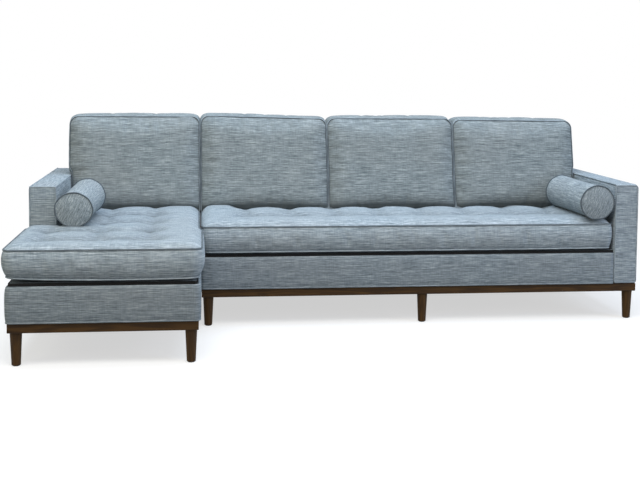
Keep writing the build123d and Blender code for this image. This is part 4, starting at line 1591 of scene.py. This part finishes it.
@dataclass
class DustCloth:
    """A dust cloth stapled under the seat: a level sheet that sags by sag * (1 - s^2)(1 - t^2) in each bay."""

    sag: float = 0.004
    thickness: float = 0.0012

    def build(self, palette: Palette) -> None:
        """Makes the cloths of both pieces.

        Args:
            palette: the finishes.
        """
        cross = span("sofa_plinth_cross_rail")
        sofa = span("sofa_dust_cloths")
        chaise = span("chaise_dust_cloth")
        left_end = np.array([cross[0][0], *sofa[1][1:]])
        right_start = np.array([cross[1][0], *sofa[0][1:]])
        bays = [
            ("sofa_left_dust_sheet", "sofa", ("sofa_dust_cloths",), sofa[0], left_end),
            ("sofa_right_dust_sheet", "sofa", (), right_start, sofa[1]),
            ("chaise_dust_sheet", "chaise", ("chaise_dust_cloth",), chaise[0], chaise[1]),
        ]
        for name, body, nodes, low, high in bays:
            s = np.linspace(-1, 1, 33)
            across, along = np.meshgrid(s, s)
            x = (low[0] + high[0]) / 2 + across * (high[0] - low[0] - 0.001) / 2
            y = (low[1] + high[1]) / 2 + along * (high[1] - low[1] - 0.001) / 2
            drop = self.sag * (1 - across**2) * (1 - along**2) + 0.0006 * ripple(x * 25 + y * 9, len(name))
            z = high[2] - 0.0012 - np.maximum(drop, 0)
            sheet = make_piece(name, grid_shell(np.dstack([x, y, z]), np.dstack([x, y])), palette.dust)
            thick = sheet.modifiers.new("thickness", "SOLIDIFY")
            thick.thickness = self.thickness
            enrol(sheet, body, nodes)
            LOG.info("%s: stapled sheet", name)


class CadFinish:
    """Finishes for the CAD nodes that stay in view."""

    def __init__(self, palette: Palette) -> None:
        """Keeps the finishes."""
        self.palette = palette

    def finish_for(self, node: str) -> Material:
        """The finish of a node by its name.

        Args:
            node: the CAD node.

        Returns:
            Its material.
        """
        low, high = span(node)
        size = high - low
        if "glides" in node:
            return self.palette.nylon
        if "bolts" in node or "connector" in node:
            return self.palette.steel
        if "webbing" in node:
            return self.palette.webbing
        if node.endswith("_legs"):
            return self.palette.walnut[Grain.Z]
        if "plinth" in node:
            along_y = "sides" in node or "cross" in node
            return self.palette.walnut[Grain.Y if along_y else Grain.X]
        if node.endswith("_posts"):
            return self.palette.hardwood[Grain.Z]
        if node in ("sofa_side_boards", "sofa_stretchers") or size[1] > size[0]:
            return self.palette.hardwood[Grain.Y]
        return self.palette.hardwood[Grain.X]

    def build(self) -> None:
        """Gives each node its finish."""
        for name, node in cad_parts.items():
            material = self.finish_for(name)
            node.data.materials.clear()
            node.data.materials.append(material)


def stand(name: str, data: bpy.types.ID, right: Array, ahead: Array, place: Triple) -> bpy.types.Object:
    """A camera or lamp in its place.

    Args:
        name: of the object.
        data: the camera or lamp.
        right: the direction to its right.
        ahead: the direction that it faces.
        place: where it stands.

    Returns:
        The object, linked to the scene.
    """
    made = bpy.data.objects.new(name, data)
    matrix = np.eye(4)
    matrix[:3] = np.column_stack([right, np.cross(right, ahead), -ahead, place])
    made.matrix_world = Matrix(matrix.tolist())
    bpy.context.scene.collection.objects.link(made)
    return made


@dataclass(frozen=True)
class Lamp:
    """A rectangular soft lamp: where it hangs, what it faces, its two sides, its watts and its colour."""

    name: str
    place: Triple
    aim: Triple
    size: tuple[float, float]
    power: float
    tint: Colour

    def build(self) -> None:
        """Hangs the lamp."""
        data = bpy.data.lights.new(self.name, "AREA")
        data.shape, data.energy, data.color = "RECTANGLE", self.power, self.tint
        data.size, data.size_y = self.size
        ahead = unit(np.array(self.aim) - np.array(self.place))
        right = unit(np.cross(ahead, UP if abs(ahead[2]) < 0.95 else REARWARD))
        stand(self.name, data, right, ahead, self.place)


@dataclass
class Studio:
    """The camera of the photograph, soft studio light and a pale floor that keeps the shadow."""

    place: Triple = (-0.6443, -4.942, 1.1524)
    yaw: float = 0.1121
    pitch: float = 0.0675
    roll: float = 0.0077
    lens: float = 59.83
    shift: float = -0.1484

    def camera(self) -> None:
        """Sets the camera from its yaw to the right, pitch down and roll."""
        ahead = np.array(
            [
                math.sin(self.yaw) * math.cos(self.pitch),
                math.cos(self.yaw) * math.cos(self.pitch),
                -math.sin(self.pitch),
            ]
        )
        right = np.array([math.cos(self.yaw), -math.sin(self.yaw), 0.0])
        right = math.cos(self.roll) * right + math.sin(self.roll) * np.cross(right, ahead)
        data = bpy.data.cameras.new("camera")
        data.lens, data.sensor_width, data.sensor_fit, data.shift_y = self.lens, 36.0, "HORIZONTAL", self.shift
        bpy.context.scene.camera = stand("camera", data, right, ahead, self.place)

    def seen_directly(self, graph: Graph) -> Value:
        """1 for camera, glossy and transmission rays, else 0."""
        kinds = ("Camera", "Glossy", "Transmission")
        camera, glossy, through = (graph.node("ShaderNodeLightPath", {}, {}, f"Is {kind} Ray") for kind in kinds)
        return (camera + glossy + through).clamped()

    def world(self) -> None:
        """A soft grey sky that the camera sees as white."""
        graph = Graph(bpy.data.worlds.new("studio"))
        strength = 0.22 + self.seen_directly(graph) * 0.78
        sky = graph.node("ShaderNodeBackground", {}, {"Color": WHITE, "Strength": strength})
        bpy.context.scene.world = graph.show(sky)

    def floor(self) -> None:
        """A wide pale floor; seen directly it is white with a light grey shadow."""
        side = np.linspace(-16, 16, 9)
        x, y = np.meshgrid(side, side)
        graph = Graph(bpy.data.materials.new("studio_floor"))
        lit = graph.node("ShaderNodeBsdfDiffuse", {}, {"Color": (0.15, 0.15, 0.15, 1.0)})
        share = graph.node("ShaderNodeBsdfDiffuse", {}, {"Color": (0.44, 0.44, 0.44, 1.0)})
        glow = graph.node("ShaderNodeEmission", {}, {"Color": WHITE, "Strength": 0.6})
        plain = graph.node("ShaderNodeEmission", {}, {"Color": WHITE, "Strength": 1.0})
        near = graph.node("ShaderNodeAddShader", {}, {0: share, 1: glow})
        place = graph.node("ShaderNodeTexCoord", {}, {}, "Object")
        away = graph.node("ShaderNodeVectorMath", {"operation": "LENGTH"}, {0: place}, "Value")
        white = graph.node("ShaderNodeMixShader", {}, {0: ((away - 1.7) * 0.8).clamped(), 1: near, 2: plain})
        mixed = graph.node("ShaderNodeMixShader", {}, {0: self.seen_directly(graph), 1: lit, 2: white})
        level = np.dstack([x, y, 0 * x - 0.0002])
        make_piece("studio_floor", grid_shell(level, np.dstack([x, y])), graph.show(mixed))

    def build(self) -> None:
        """Everything round the sofa."""
        self.camera()
        self.world()
        self.floor()
        lamps = (
            Lamp("overhead", (0.0, 0.2, 3.2), (0.0, 0.2, 0.0), (5.0, 2.2), 86.0, (0.82, 1.0, 1.24)),
            Lamp("key", (-0.6, -2.6, 4.2), (0.0, 0.1, 0.4), (3.0, 2.0), 128.0, (1.02, 1.0, 0.96)),
            Lamp("front", (0.6, -6.5, 2.2), (0.0, 0.0, 0.5), (5.0, 3.0), 30.0, (1.15, 0.95, 0.82)),
            Lamp("right", (4.6, -2.6, 2.4), (0.0, 0.0, 0.5), (3.0, 3.0), 100.0, (0.84, 1.0, 1.24)),
            Lamp("left", (-4.6, -2.6, 2.4), (0.0, 0.0, 0.5), (3.0, 3.0), 54.0, (0.98, 0.98, 0.8)),
        )
        for lamp in lamps:
            lamp.build()
        bpy.context.scene.view_settings.view_transform = "Standard"


def swell_all(cushions: list[BoxedCushion]) -> None:
    """Runs every cushion's cloth together and keeps what it makes.

    Args:
        cushions: with built meshes.
    """
    scene = bpy.context.scene
    scene.frame_start, scene.frame_end = 1, CLOTH_FRAMES
    for cushion in cushions:
        cushion.swell()
    for step in range(1, CLOTH_FRAMES + 1):
        scene.frame_set(step)
    for cushion in cushions:
        cushion.settle()
    scene.frame_set(1)


def main() -> None:
    """Builds every piece in order."""
    logging.basicConfig(level=logging.INFO, format="%(message)s")
    palette = Palette()
    Studio().build()
    CadFinish(palette).build()
    seats = seat_cushions()
    cushions = seats + back_cushions(seats)
    for cushion in cushions:
        cushion.build(palette.tweed if cushion in seats else palette.shaded_back_tweed)
    swell_all(cushions)
    for cushion in cushions:
        cushion.dress(palette.seat_piping if cushion in seats else palette.back_piping, palette.tweed)
    left = Bolster("left_bolster_cover", "left_bolster", "left_bolster_roll", -1.6, 2)
    right = Bolster("right_bolster_cover", "right_bolster", "right_bolster_roll", 1.6, 5, settle=0.03)
    for bolster in (left, right):
        bolster.build(palette.roll_tweed, palette.seat_piping)
    Upholstery(palette).build()
    DustCloth().build(palette)


if __name__ == "__main__":
    main()
